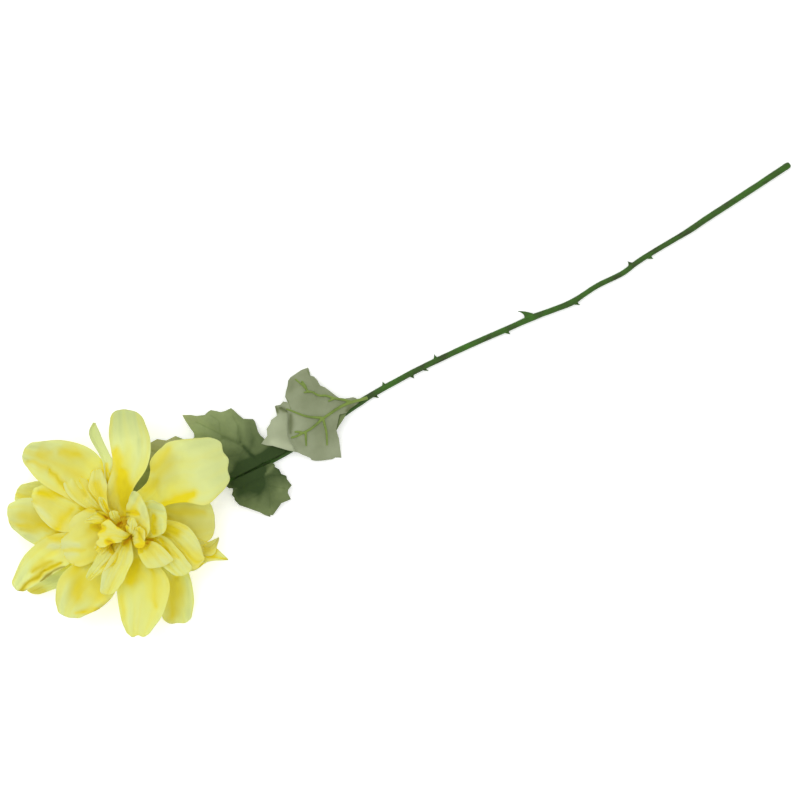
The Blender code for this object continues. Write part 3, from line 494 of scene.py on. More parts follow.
outerPetals = [
    petalShape(
        [(-6, 7), (-15, 18), (-15, 28), (-11, 42), (-9.4, 53), (-12, 74.5), (-11, 87)],
        [(3, 6.5), (6.5, 29.5), (18.5, 49.5), (21, 69), (16, 85)],
        (30, 44, 34), lift=(0.5, 4), bulge=9, phase=0.3, tipPale=1.3,
        strokes=[
            (-7, 62, -2, 36, 3.6, 0.9, -1.2), (-2, 46, 1, 16, 4.6, 1.3, -1), (0, 36, 2, 20, 5, 2.15, 0),
            (13, 70.5, 7, 34.5, 3.2, -0.3, 0.8),
        ],
    ),
    petalShape(
        [(3, 5), (7, 25), (14, 32.5), (18.6, 37.5), (21, 46), (20.6, 53), (24.5, 59.5), (30, 65),
         (38, 70), (66.5, 73)],
        [(7, 0), (28, 16), (48, 21), (65.5, 18.5), (77.5, 28)],
        (30, 43, 31), lift=(3, 3), bulge=12, lobes=3, notch=2.2, wave=1.2, phase=1.2, tipPale=0.95,
        strokes=[
            (26, 36, 36, 54, 8, 2.2, 0), (26, 36, 35, 52, 5, 0.3, 0),
            (30.5, 18.5, 56, 27, 3.6, 1.3, -1.6), (23, 46.5, 34, 63, 4, 0.7, -1.2),
            (17, 30.5, 26.5, 37, 4.8, 0.6, -0.6), (28, 26.5, 42.5, 56, 3.2, -0.2, 1.2),
            (64, 56, 81, 57.5, 2, 0.12, -0.7), (52, 38.5, 77.5, 40, 3.2, -0.15, 0.7),
        ],
    ),
    petalShape(
        [(6.5, 2.5), (28, 21), (50, 27), (65, 21)],
        [(7, -4), (32, -4), (52, -16), (65.5, -10.5)],
        (28, 30, 21), lift=(1.5, 1.5), bulge=7, wave=0.8, phase=2, gold=0.2,
        strokes=[
            (40, 4, 66, 2, 12, 2.24, 0), (32, 13.5, 62.5, 13, 3.2, 0.45, -0.9),
            (33, 6.5, 39, -6.5, 5.6, 0.6, -0.5),
        ],
    ),
    petalShape(
        [(6.5, -1.5), (32, -1.5), (56, -8), (70.5, -14.5), (81, -24)],
        [(6.5, -6.5), (32, -19), (52, -34.5), (66.5, -27), (81, -25.5)],
        (27.5, 27, 17), bulge=1.5, wave=0.8, phase=0.7, gold=0.05,
        strokes=[(64, -13.5, 69, -23, 5.6, 0.45, -0.8)],
    ),
    petalShape(
        [(57.5, -12), (68, -10.5), (75, -7)],
        [(61, -22.5), (71, -21), (75.5, -9)],
        (21, 23, 26), lift=(0, 0), bulge=0, wave=0.3, phase=0.1, fluteDye=0.1,
        strokes=[(68, -14, 75, -9, 5, 2.3, 0), (60, -18, 67, -17, 4, 0.7, 0)],
    ),
    petalShape(
        [(5.5, -5), (32, -13.5), (50.5, -34.5), (55, -56), (53, -72)],
        [(0, -7), (12, -29.5), (22.5, -49.5), (26.5, -64), (29.5, -73)],
        (27, 17, 0.4), lift=(4, 5), bulge=5, lobes=2, notch=0.8, wave=0.8, phase=1.2,
        strokes=[
            (40, -40, 37, -70.5, 5.6, 0.8, -1.4), (36, -36, 34, -74, 8, 2.16, 0),
            (50.5, -41.5, 49.5, -72, 3.2, -0.35, 0.6),
        ],
    ),
    petalShape(
        [(4, -6.5), (21.5, -22.5), (36, -43), (32, -65.5), (20, -85)],
        [(-2.5, -8), (-6.5, -27), (-5.5, -51), (-3, -72), (1.5, -85)],
        (30, 37, 25), lift=(5, 5), bulge=2.5, lobes=2, notch=1.8, wave=0.5, phase=2.6,
        strokes=[
            (21, -30.5, 25, -62.5, 2.1, 0.6, -1.3), (-3, -54.5, -1, -72, 2.4, 0.35, -0.3),
            (10, -27, 3, -43, 5.6, 1.1, -0.6), (13, -45.5, 11, -80, 4, -0.3, 1.3),
            (30.5, -41.5, 28, -67, 2.8, -0.2, 0.6),
        ],
    ),
    petalShape(
        [(-1, -8), (-3, -25.5), (-6.5, -49.5), (-17.5, -62.5), (-34.5, -70.5)],
        [(-6.5, -5.5), (-26.5, -17.5), (-50.5, -37.5), (-55, -55), (-53, -65.5)],
        (30, 39, 26), lift=(5, 3), bulge=3.5, wave=0.5, phase=3.4,
        strokes=[
            (-37, -27, -37.5, -56, 4.8, 0.6, -1.2), (-36, -44, -34, -66, 12, 2.14, 0),
            (-22.5, -45, -17.5, -57.5, 6.4, 0.45, -0.8), (-39, -68, -21.5, -65, 1.9, 0.8, -0.6),
            (-24, -67, -11, -56.5, 1.6, 2.4, -0.6), (-45.5, -41.5, -49, -62.5, 4, -0.3, 1),
        ],
    ),
    petalShape(
        [(-5.5, -7), (-28, -19), (-47, -30.5), (-64, -41), (-78.5, -49.5)],
        [(-6.5, -1.5), (-32, -1.5), (-60, -6.5), (-79, -20), (-89.5, -41.5)],
        (29, 38, 19), lift=(1.5, 3), bulge=5, phase=0.9,
        strokes=[
            (-73, -35, -58.5, -26.5, 2.6, 0.9, -1.6), (-73, -35, -58, -26.5, 2, 2.25, 0),
            (-83, -48.5, -64, -34.5, 1.5, 1, -1.4), (-64, -34.5, -50.5, -27.5, 1.3, 1.25, -1.4),
            (-83, -48.5, -64, -34.5, 0.9, 2.5, 0), (-64, -34.5, -49.5, -27, 0.8, 2.4, 0),
            (-67, -41.5, -57.5, -35, 0.9, 2.95, -0.5), (-57.5, -35, -48, -30.5, 0.8, 2.8, -0.5),
            (-84, -50, -78, -49.5, 1.6, 2.6, 0), (-85.5, -43, -77.5, -25.5, 4, -0.3, 0.9),
            (-60, -14, -44, -14, 2.4, -0.7, 0.6), (-60, -7, -44, -8, 2.4, 0.7, -0.6),
        ],
    ),
    petalShape(
        [(-4, -8), (-24, -27), (-42.5, -43), (-55, -48), (-68, -53)],
        [(-6.5, -6.5), (-29.5, -19), (-52, -30.5), (-69.5, -41.5), (-78.5, -48)],
        (26.8, 16, 0.4), bulge=4, phase=4,
        strokes=[
            (-77, -51, -66, -51, 3.4, 0.6, 0), (-77, -51, -66, -51, 4, 2.12, 0),
            (-62, -42.5, -50, -39, 5, -0.7, 0.4),
        ],
    ),
    petalShape(
        [(-5, -3), (-32, -13.5), (-60, -17.5), (-76, -11), (-88, -1.5)],
        [(-5, 2.5), (-32, 14.5), (-60, 22.5), (-80, 24), (-90.5, 20)],
        (28.5, 34, 18), bulge=5, phase=1.7,
        strokes=[
            (-82.5, 9.5, -63, 2.5, 4.8, 0.5, -0.9), (-84, 2.5, -60, 1.5, 2.6, 0.8, -0.4),
            (-88, 6, -64, 6, 12, 2.24, 0), (-84, -1.5, -60, -1.5, 1.4, 0.5, -1.2),
            (-79, -5.5, -60, -8, 3.2, -0.35, 0.8),
        ],
    ),
    petalShape(
        [(-5, 2.5), (-32, 13), (-60, 16), (-80, 16), (-88, 21.5)],
        [(-4, 5), (-28, 22.5), (-52, 34.5), (-69.5, 37.5), (-82.5, 34.5)],
        (27, 16, 0.4), lift=(1.5, 1.5), phase=5, gold=0.1,
        strokes=[(-82.5, 25, -73, 27, 4, 0.2, 0), (-80, 28, -66, 30, 10, 2.2, 0)],
    ),
    petalShape(
        [(-5.5, 4), (-29.5, 16), (-52, 27), (-68, 37.5), (-77.5, 49)],
        [(-2.5, 7), (-10.5, 38.5), (-24, 61.5), (-48, 70), (-69.5, 68.5)],
        (30, 40, 23), lift=(3, 1), bulge=8, wave=1, phase=2.2,
        strokes=[
            (-77.5, 53.5, -60, 46.5, 2.1, 0.7, -1.3), (-60, 46.5, -45, 30.5, 2.2, 1, -1.5),
            (-60, 46.5, -45, 30.5, 1, 2.3, 0), (-69.5, 60, -60, 60, 3.2, 0.5, -0.5),
            (-74, 58, -36, 56, 12, 2.22, 0), (-50.5, 60, -36, 59, 3.6, 0.7, -1),
            (-23, 56, -17, 46.5, 4, 0.1, 0), (-39, 46.5, -23, 49.5, 4, 0.05, 1.2),
            (-74.5, 65, -52, 67, 2.4, -0.3, 0.6),
        ],
    ),
    petalShape(
        [(-5, 6.5), (-13.5, 30.5), (-17.5, 53), (-26.5, 71), (-27.5, 78), (-25, 83)],
        [(0, 7), (-5.5, 30.5), (-8.2, 52), (-11.5, 58), (-16.5, 69.5), (-20.5, 79), (-22.5, 83)],
        (27, 40.5, 36), lift=(1.5, 0), bulge=1.5, phase=0.4, gold=-0.35, pale=0.9, flutes=1,
        strokes=[(-14.5, 52, -11, 26.5, 2.2, 1.1, -0.6)],
    ),
]
middlePetals = [
    petalShape(
        [(-9.5, 0), (-32, -4), (-53.5, -2.5), (-65, 5.5), (-71, 14.5)],
        [(-8, 6.5), (-28, 20), (-50.5, 31), (-61.5, 35), (-70.5, 32)],
        (31, 42, 24.5), lift=(1.5, 1), bulge=4, phase=1,
        strokes=[
            (-68, 28, -50, 27, 3.6, 1, -1.3), (-68, 17, -58.5, 1.5, 3.2, -0.4, 1.2),
            (-66, 26, -54, 25, 8, 2.1, 0), (-56, -2, -42, 16, 3.2, 0.9, -0.8),
        ],
    ),
    petalShape(
        [(-12, 6.5), (-31, 16), (-45.5, 27), (-50.5, 37.5)],
        [(-9, 9), (-21, 22.5), (-29.5, 37), (-35, 48)],
        (32, 44, 29), lift=(1, 0), bulge=5, phase=2.9, strokes=[(-39, 41.5, -31, 25.5, 3.2, 0.7, -1.2)],
    ),
    petalShape(
        [(-10.5, 7), (-21, 20), (-28, 32), (-27, 42.5)],
        [(-7.5, 9), (-13.4, 22.5), (-13.6, 34.5), (-16.5, 45.5)],
        (33, 46, 33), lift=(0.5, 1), bulge=5, phase=1.9,
        strokes=[(-23, 35, -17.5, 22.5, 4, 0.8, -1.2), (-17, 43, -13, 27, 2.4, -0.35, 0.8)],
    ),
    petalShape(
        [(-9.5, -9.5), (-21.5, -25.5), (-36, -30.5), (-47, -25.5)],
        [(-10.5, 6.5), (-25, 16), (-39, 11), (-49, -3)],
        (34, 47, 28.5), lift=(0.5, -0.5), bulge=6, phase=2,
        strokes=[
            (-28, -1.5, -17, 0, 4, 0.6, -1), (-26.5, -13.5, -20, -5.5, 4.8, 0.35, -0.6),
            (-60, -14, -37, -14, 2.4, -0.7, 0.8), (-48, -22, -38, -21, 2.4, -0.6, 0.6),
            (-52, -18, -30, -18, 1.6, 0.6, -0.6), (-42.5, 3, -28, 11, 3.2, -0.2, 0.6),
        ],
    ),
    petalShape(
        [(12, -1.5), (32, 6.5), (49, 2.5), (59, -10.5), (63, -22.5)],
        [(12, -6.5), (32, -11), (44, -24), (54.5, -33.5), (62.5, -26.5)],
        (31, 42, 29), lift=(-1, -5), bulge=1, wave=0.4, phase=2.4,
        strokes=[
            (42.5, -17, 58.5, -29, 4.8, 0.55, -0.6), (28, 2, 41, -3, 5, 1.2, -0.4),
            (36, 4, 48, 1, 4, 0.6, 0), (28, 2, 41, -3, 6, 2.12, 0), (46, 0, 57, -14.5, 4.4, -0.4, 0.5),
        ],
    ),
    petalShape(
        [(12, -5.5), (29.5, -5.5), (42.5, -16), (53, -29)],
        [(10.5, -10.5), (24, -18.5), (32, -30.5), (37.5, -36)],
        (34, 48, 33), lift=(1, 2), bulge=6, phase=4.4,
        strokes=[
            (29, -8, 34.5, -18.5, 1.6, 0.8, -1), (34.5, -18.5, 42.5, -23, 1.9, 0.6, -0.8),
            (42.5, -27, 50.5, -35, 4.8, -0.35, 0.3),
        ],
    ),
    petalShape(
        [(6.5, -12), (6.5, -25.5), (1.5, -38.5), (-5.5, -48)],
        [(-4, -13), (-11, -25), (-17, -36), (-19, -46.5)],
        (36, 52, 41), lift=(3, 3), bulge=6.5, wave=0.5, phase=0.4,
        strokes=[(-17, -46.5, -2.5, -29, 4, -0.5, 0.6), (-2.5, -29, 5, -19, 3.2, -0.45, 0.6)],
    ),
    petalShape(
        [(-4, -13.5), (-6.5, -25.5), (-15, -33), (-24, -40)],
        [(-10.5, -9.5), (-19, -17.5), (-25.5, -29.5), (-29.5, -37.5)],
        (36, 50, 42), lift=(3, 3), wave=0.5, phase=1.4,
        strokes=[(-17.5, -30.5, -5.5, -25.5, 2, 0.45, -1), (-23, -33.5, -12, -21.5, 3.2, -0.4, 0.8)],
    ),
    petalShape(
        [(12, -9.5), (21.5, -9.5), (29.5, -13.5), (38.5, -24)],
        [(9.5, -14.5), (11, -19), (13.5, -25.5), (17.5, -30.5)],
        (35, 54, 42), lift=(1, 1), bulge=4, wave=0.6, phase=3.4,
        strokes=[
            (13, -17, 20, -10.5, 2.4, 0.8, -0.5), (21.5, -25.5, 34.5, -25.5, 4.8, -0.4, 0.6),
            (17.5, -22.5, 28, -17.5, 4, 0.2, 0),
        ],
    ),
    petalShape(
        [(5.5, 6.5), (13.5, 18.5), (21.5, 22.5), (29.5, 20)],
        [(9, -3), (18.5, -7), (25, -6.5), (30.5, -4)],
        (35, 47, 52), lift=(3, 2), bulge=4.5, phase=0.2,
        strokes=[
            (24, 11, 24, -3, 2.4, 0.75, -1.6), (20, 19, 31, 14.5, 4, -0.9, 0.4),
            (29.5, 8, 29.5, -3, 2.2, -0.7, 0.4),
        ],
    ),
    petalShape(
        [(1, 4), (2.5, 17.5), (6.5, 29)],
        [(9, -6.5), (15, -8), (20, -5)],
        (35, 50, 57), bulge=8, wave=1, phase=5.4,
        strokes=[
            (3, 13.5, 11, 12, 2, 1, -1), (7, 6.5, 15, 1.5, 3.2, -0.4, 0.8),
            (8, 28, 13, 20, 5, -0.9, 0.3), (13, 22, 19, 6.5, 3.2, -0.8, 0.3),
        ],
    ),
]
innerPetals = [
    petalShape(
        [(-5.5, 0), (-15, 2.5), (-24, 4), (-30.5, 5)],
        [(-5, 5.5), (-13, 11.5), (-21.5, 13.5), (-28, 9)],
        (38, 54, 50), lift=(1, 2), bulge=1, wave=0.6, phase=0.5,
        strokes=[(-26.5, 6.5, -10.5, 5.5, 2.4, 0.5, -0.4)],
    ),
    petalShape(
        [(-6.5, 3), (-14.5, 13), (-19.5, 22.5)],
        [(-3, 5.5), (-10.5, 13.5), (-15, 23)],
        (36, 52, 55), lift=(1, 1), phase=1.5, strokes=[(-14.5, 22.5, -11, 11, 1.3, 0.9, -0.3)],
    ),
    petalShape(
        [(-5.5, 3), (-9.5, 8), (-11, 12)],
        [(-1, 5), (-3, 9), (-4.5, 13)],
        (38, 54, 57), lift=(1, 1), bulge=2, phase=2.5, strokes=[(-9.5, 13, -5, 10.5, 2, -0.3, 0.2)],
    ),
    petalShape(
        [(-4, -7), (-11, -13.5), (-17.5, -20)],
        [(-7, -2.5), (-17.5, -7), (-23, -14.5)],
        (36, 48, 46), lift=(1, 1), bulge=2, phase=3.5, strokes=[(-22, -17, -12, -10.5, 4, 0.5, 0.3)],
    ),
    petalShape(
        [(7, -6), (0, -10.5), (-8, -11), (-15, -14.5), (-21, -15)],
        [(7, -3.5), (1, -2.5), (-5.5, 1.5), (-12, 6.5), (-15, 7)],
        (39, 60, 51), lift=(1, 3), lobes=3, notch=2.5, wave=0.6, phase=4.5,
        strokes=[(-15, -5, 1, -5, 4, -0.25, 0.7), (-13.5, 1.5, -10.5, -12, 2.4, -0.3, -0.5)],
    ),
    petalShape(
        [(2.5, -5), (2, 1.5), (4, 7)],
        [(9, -5.5), (11, 0), (10.5, 5.5)],
        (38, 58, 59), lift=(1, 1), bulge=2.5, phase=5.5,
        strokes=[(6.5, 5.5, 6.5, -2.5, 3.2, -0.5, 0.3)],
    ),
    petalShape(
        [(4.5, -2.5), (7, -3), (9.5, 0)],
        [(6.5, -7.5), (9.5, -14.5), (17, -13.5), (17, -2.5)],
        (37, 54, 59), lift=(0, 1.5), phase=0.9,
        strokes=[(12, 0, 14.5, -12, 1.9, 0.9, -0.6), (9, -3, 10.5, -13.5, 2.4, -0.3, 0.3)],
    ),
]


def edgePlace(line, share):
    index = clamp(share) * (len(line) - 1)
    low = min(int(index), len(line) - 2)
    return line[low].lerp(line[low + 1], index - low)


def strokeReach(stroke, at):
    # how strongly a brush mark covers a plan point, thinner towards its ends
    start, end = Vector(stroke[:2]), Vector(stroke[2:4])
    step = end - start
    share = clamp((at - start).dot(step) / step.length_squared)
    ends = petalBuild["strokeEnds"]
    width = stroke[4] * petalBuild["strokeWiden"] * (ends + (1 - ends) * math.sin(math.pi * share))
    return hump((start + step * share - at).length, width)


def petalPlan(shape, share, across):
    # a petal's plan point in mm, and the seed of the noise there
    values = petalBuild
    first, second = shape["edges"]
    left, right = edgePlace(first, share), edgePlace(second, share)
    near, far = max(share - values["lookAhead"], 0), min(share + values["lookAhead"], 1)
    ahead = edgePlace(first, far) + edgePlace(second, far)
    ahead = (ahead - edgePlace(first, near) - edgePlace(second, near)).normalized()
    seed = shape["phase"] * values["seedStep"] + left.x * values["seedDrift"]
    notch = shape["notch"] * (1 + math.cos(math.pi * shape["lobes"] * (across + 1))) / 2
    reach = shape["bulge"] * share ** 3 * math.sqrt(max(1 - across * across, 0)) - notch * share ** 6
    rim = Vector((across * values["rimScale"], seed, values["rimRow"]))
    reach += values["rimNoise"] * noise.noise(rim) * share ** 6
    at = (left + right) / 2 + (right - left) / 2 * across + ahead * reach
    row = values["edgeRows"][0 if across < 0 else 1]
    wander = noise.noise(Vector((share * values["edgeScale"], row, seed)))
    outward = (right - left).normalized() * (1 if across > 0 else -1)
    at += outward * wander * shape["ragged"] * abs(across) ** 3 * ease(share / values["edgeFree"])
    return at, seed


def petalFlute(shape, share, across, seed):
    # folds along the petal, from -1 in a groove to 1 on a ridge
    values = petalBuild
    turn = across * shape["flutes"]
    flute = noise.noise(Vector((turn + seed * values["fluteSeed"], share * values["fluteAlong"], seed)))
    finer, along, apart = values["fluteFiner"]
    fine = noise.noise(Vector((turn * finer, share * along, seed + apart)))
    return flute + values["fluteFine"] * fine


def petalHeight(shape, share, across, at, seed, flute):
    values = petalBuild
    height = bow(shape["heights"], share)
    lift = shape["lift"][0 if across < 0 else 1]
    height += lift * abs(across) ** values["liftPower"] * ease(share / values["liftFree"])
    phase = shape["phase"] + (values["ruffleShift"] if across > 0 else 0)
    sway = math.sin(2 * math.pi * shape["waves"] * share + phase)
    height += shape["wave"] * sway * across ** 2 * share
    spot = noiseSpot(at, values["crumpleScale"], seed)
    broad, fine = values["crumpleShares"]
    crumple = broad * noise.noise(spot) + fine * noise.noise(spot * values["crumpleFiner"])
    free = ease(share / values["formFree"])
    return height + shape["crumple"] * crumple * free + (
        shape["fluteDepth"] * flute * (1 - abs(across) ** 4) * free)


def petalPlace(shape, share, across):
    # a point of the petal in mm, with its gold and painted shade, its paleness and painted highlight,
    # and its painted shadow lines
    values = petalBuild
    at, seed = petalPlan(shape, share, across)
    flute = petalFlute(shape, share, across, seed)
    height = petalHeight(shape, share, across, at, seed, flute)
    # painted shade gilds the grooves of the flutes and a painted highlight pales their ridges
    gold = shape["gold"] + shape["fluteDye"] * max(-flute, 0)
    pale = shape["pale"] + shape["fluteDye"] * max(flute, 0)
    astray = noiseSpot(at, values["strayScale"], seed)
    aside = astray + Vector((values["strayApart"],) * 3)
    marked = at + Vector((noise.noise(astray), noise.noise(aside))) * values["strokeStray"]
    dyedAndShaded, paledAndLit, shadeLines = 0, 0, 0
    for stroke in shape["strokes"] + shape["creases"]:
        cover = strokeReach(stroke, marked)
        dyeAndShade, relief = stroke[5:]
        height += relief * cover * ease(share / values["strokeFree"])
        # marks over the line value are painted shadow lines and broad painted shade
        if dyeAndShade > values["shadeLineFrom"]:
            shadeLines = max(shadeLines, (dyeAndShade - values["shadeLineFrom"]) * cover)
        else:
            dyedAndShaded = max(dyedAndShaded, dyeAndShade * cover)
            paledAndLit = max(paledAndLit, -dyeAndShade * cover)
    # the strokes' gold is mostly painted shade; the gold near the heart is the petals' own
    gold += dyedAndShaded * values["strokeDyeAndShade"] + shape["heartDye"] * hump(at.length, values["heartReach"])
    tip = ease((share - values["tipFrom"]) / (1 - values["tipFrom"]))
    # pale strokes and pale rims are painted highlights; the pale tips are the petals' own colour
    pale += paledAndLit + shape["tipPale"] * tip + shape["rimHighlight"] * abs(across) ** 4
    return Vector((at.x, at.y, height)), gold, pale, shadeLines


def makePetal(name, shape, size, cloth):
    piece = makeGrid(name, *size)
    turn = Matrix.Rotation(math.radians(petalBuild["turn"]), 3, "Z")
    low = (petalBuild["thickness"] / 2 + petalBuild["floorGap"]) * mm
    goldsAndShades, palesAndLights, shadeLineList, spots = [], [], [], []
    for vertex in piece.data.vertices:
        across = math.sin(math.pi / 2 * vertex.co.x)
        share = (vertex.co.y + 1) / 2
        spot, gold, pale, shadeLines = petalPlace(shape, share, across)
        vertex.co = turn @ spot * mm + heart
        vertex.co.z = max(vertex.co.z, low)
        goldsAndShades.append(gold)
        palesAndLights.append(pale)
        shadeLineList.append(shadeLines)
        spots.append(spot.xy * mm)
    writeUv(piece, spots)
    writeAttribute(piece, "goldAndShade", goldsAndShades)
    writeAttribute(piece, "paleAndLit", palesAndLights)
    writeAttribute(piece, "shadeLines", shadeLineList)
    dress(piece, cloth)
    thicken(piece, petalBuild["thickness"])
    return piece


def makeRing(name, shapes, size, cloth):
    made = [makePetal(f"{name}{i}", shape, size, cloth) for i, shape in enumerate(shapes)]
    ring = joinAs(name, made)
    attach(ring, "root")
    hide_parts("bloom")
    return ring


petalMaterial = makePetalCloth(petalCloth)
rings = []
for ring, shapes in (("outer", outerPetals), ("middle", middlePetals), ("inner", innerPetals)):
    shapes = [{**plainPetal, **ringLooks[ring], **shape} for shape in shapes]
    rings.append(makeRing(ring + "Petals", shapes, petalBuild[ring], petalMaterial))
print("petals made")


# Core: the small dome that the petals are fixed to

core = {
    "radius": 9.5, "bottom": 24.35, "waist": 28.85, "top": 44.0, "segments": 48, "rings": 24,
    "bumps": 0.08, "bumpScale": 400, "goldAndShade": 1.3,
}


def makeCore(values, cloth):
    bpy.ops.mesh.primitive_uv_sphere_add(
        segments=values["segments"], ring_count=values["rings"], radius=values["radius"] * mm,
    )
    piece = active()
    piece.name = "bloomCore"
    for vertex in piece.data.vertices:
        stretch = (values["top"] - values["waist"]) / values["radius"] if vertex.co.z > 0 else 1
        bumps = 1 + values["bumps"] * noise.noise(vertex.co * values["bumpScale"])
        vertex.co = vertex.co * bumps
        vertex.co.z = max(vertex.co.z * stretch + values["waist"] * mm, values["bottom"] * mm)
        vertex.co += heart
    # the core runs to deep orange: partly its own colour, partly painted shade of the hollow it sits in
    writeAttribute(piece, "goldAndShade", [values["goldAndShade"]] * len(piece.data.vertices))
    dress(piece, cloth)
    bpy.ops.object.shade_smooth()
    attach(piece, "root")
    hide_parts("bloom")
    return piece


rings.append(makeCore(core, petalMaterial))
print("core made")


# How shut in each point of the bloom is: painted shade and painted yellow bounce light turn it gold
# there

hollowShade = {"rays": 12, "reach": 24, "spread": 0.85, "lift": 0.3, "turn": 137.5}


def writeHollowShade(values, pieces):
    corners, faces = [], []
    for piece in pieces:
        start = len(corners)
        corners += [vertex.co.copy() for vertex in piece.data.vertices]
        faces += [[start + i for i in face.vertices] for face in piece.data.polygons]
    tree = BVHTree.FromPolygons(corners, faces)
    reach = values["reach"] * mm
    rays = []
    for k in range(values["rays"]):
        rise = 1 - values["spread"] * (k + 0.5) / values["rays"]
        angle = k * math.radians(values["turn"])
        flat = math.sqrt(1 - rise * rise)
        rays.append(Vector((flat * math.cos(angle), flat * math.sin(angle), rise)))
    for piece in pieces:
        found = []
        for vertex in piece.data.vertices:
            turn = vertex.normal.to_track_quat("Z", "Y")
            start = vertex.co + vertex.normal * values["lift"] * mm
            total = 0
            for ray in rays:
                far = tree.ray_cast(start, turn @ ray, reach)[3]
                if far is not None:
                    total += 1 - far / reach
            found.append(total / len(rays))
        writeAttribute(piece, "hollowShade", found)


writeHollowShade(hollowShade, rings)
print("shut-in places marked")


# Green plastic of the stem, the calyx and the ribs

plastic = {
    "stem": rgb(0.042, 0.150, 0.008), "stemDark": rgb(0.032, 0.050, 0.012), "stemRough": 0.55,
    "rib": rgb(0.215, 0.31, 0.06), "ribDark": rgb(0.15, 0.22, 0.045), "ribRough": 0.6,
    "patchScale": 90.0, "streakScale": (60.0, 900.0, 900.0), "streakDetail": 3.0, "streakShare": 1.9,
    "roughLess": 0.1, "roughMore": 0.15, "grainDepth": 0.00008, "grainStrength": 0.5,
}


def makePlastic(values, kind):
    material, tree, shader = makeMaterial(kind + "Plastic", values[kind + "Rough"])
    place = addNode(tree, "ShaderNodeTexCoord").outputs["Object"]
    patches = placeGroup(tree, mottleGroup, {
        "Place": place, "Scale": values["patchScale"], "Low": 0.0, "High": 1.0,
    })
    stretched = addNode(tree, "ShaderNodeMapping", {"Vector": place, "Scale": values["streakScale"]})
    streaks = addNode(tree, "ShaderNodeTexNoise", {
        "Vector": stretched.outputs[0], "Scale": 1.0, "Detail": values["streakDetail"],
    }).outputs["Fac"]
    streaked = mathNode(tree, "MULTIPLY", streaks, values["streakShare"])
    share = mathNode(tree, "MULTIPLY", patches, streaked)
    colour = mixColours(tree, share, values[kind], values[kind + "Dark"])
    tree.links.new(colour, shader.inputs["Base Color"])
    rough = addNode(tree, "ShaderNodeMapRange", {
        "Value": streaks, "To Min": values[kind + "Rough"] - values["roughLess"],
        "To Max": values[kind + "Rough"] + values["roughMore"],
    })
    tree.links.new(rough.outputs[0], shader.inputs["Roughness"])
    setNormal(tree, shader, streaks, values["grainDepth"], values["grainStrength"])
    return material


stemMaterial = makePlastic(plastic, "stem")
ribMaterial = makePlastic(plastic, "rib")


# Stem: the coated wire with its thorns

# A thorn is (distance along the stem, side, length, lean, width), and its width shrinks towards the tip
# by two powers, one for the point and one for the flare at the root.
stem = {
    "neck": [
        (0, 0, 13.2), (0, 0, 12.1), (0, 0, 11), (0.65, -0.15, 7.7), (2.5, -0.5, 4.9),
        (5.3, -0.85, 3.05), (8.6, -1.2, 2.4), (14, -1.75, 2.4), (21, -2.4, 2.4),
    ],
    "neckReach": 8, "spans": 12,
    "route": [
        (30, -3.2), (60, -4.8), (95, -6.3), (135, -8.4), (175, -6.0), (216, -0.7), (252, 0.1),
        (276, -0.4), (312, -2.5), (345, -5.3), (366, -6.8), (384, -9.3), (400, -11.2), (412, -10.3),
        (426, -9.2), (447, -10.1), (462, -7.9), (480, -6.6), (510, -5.4), (528, -3.6), (562, -0.9),
        (602, 2.6),
    ],
    "radii": [(0, 2.4), (396, 2.4), (408, 2.15), (500, 2.2), (515, 2.55), (604, 2.65)],
    "joints": (213, 367, 402), "jointRise": 0.35, "jointSpread": 6,
    "cutEnd": ((2.0, 1.06), (4.2, 0.95), (5.4, 0.6)), "steps": 420, "sides": 28, "seam": 0.12,
    "lump": 0.1, "seamWidth": 0.14, "lumpScale": 0.11, "slim": 0.985,
    "thorns": [
        (226.5, -1, 2.7, 0.4, 4.2), (237, 1, 2.8, 0.1, 4.2), (259.5, -1, 2.7, 0.15, 4.4),
        (271.5, -1, 2.3, 0.6, 4), (283, 1, 3.2, 0.1, 4.2), (344.5, -1, 2.7, 0.35, 4.8),
        (364.5, 1, 7, -0.75, 6.6), (403.5, -1, 2.8, 0.5, 4.4), (457.5, 1, 3.3, -0.05, 4.8),
        (473.5, -1, 2.7, 0.45, 5),
    ],
    "thornFlat": 0.42, "thornRoot": 0.3, "thornBend": 1.3, "thornTaper": ((0.3, 0.8), (0.7, 3)),
    "thornTip": 0.05, "thornSteps": 16, "thornSides": 20,
}


def stemRadius(values, distance):
    radii = values["radii"]
    radius = radii[-1][1]
    for (a, first), (b, last) in zip(radii, radii[1:]):
        if distance <= b:
            radius = blend(first, last, clamp((distance - a) / (b - a)))
            break
    for joint in values["joints"]:
        radius += values["jointRise"] * hump(distance - joint, values["jointSpread"])
    return radius


def stemLine(values):
    points = [Vector(p) for p in values["neck"]]
    points += [Vector((x, y, stemRadius(values, 0))) for x, y in values["route"]]
    points = smoothLine(points, values["spans"])
    for at in points:
        if at.x > values["neckReach"]:
            at.z = stemRadius(values, at.x)
    return points


def makeTube(name, points, radii, sides):
    # a grid rolled round the line, its long edges merged and its ends filled
    last = len(points) - 1
    piece = makeGrid(name, sides, last)
    frames = []
    side = None
    for k in range(last + 1):
        ahead = (points[min(k + 1, last)] - points[max(k - 1, 0)]).normalized()
        if side is None:
            side = ahead.cross(askew).normalized()
        side = (side - ahead * side.dot(ahead)).normalized()
        frames.append((side.copy(), ahead.cross(side)))
    for vertex in piece.data.vertices:
        k = round((vertex.co.y + 1) / 2 * last)
        angle = math.pi * (vertex.co.x + 1)
        first, second = frames[k]
        radius = radii(k, angle) if callable(radii) else radii[k]
        vertex.co = points[k] + (first * math.cos(angle) + second * math.sin(angle)) * radius
    closeSeams(piece, fillEnds=True)
    bpy.ops.object.shade_smooth()
    return piece


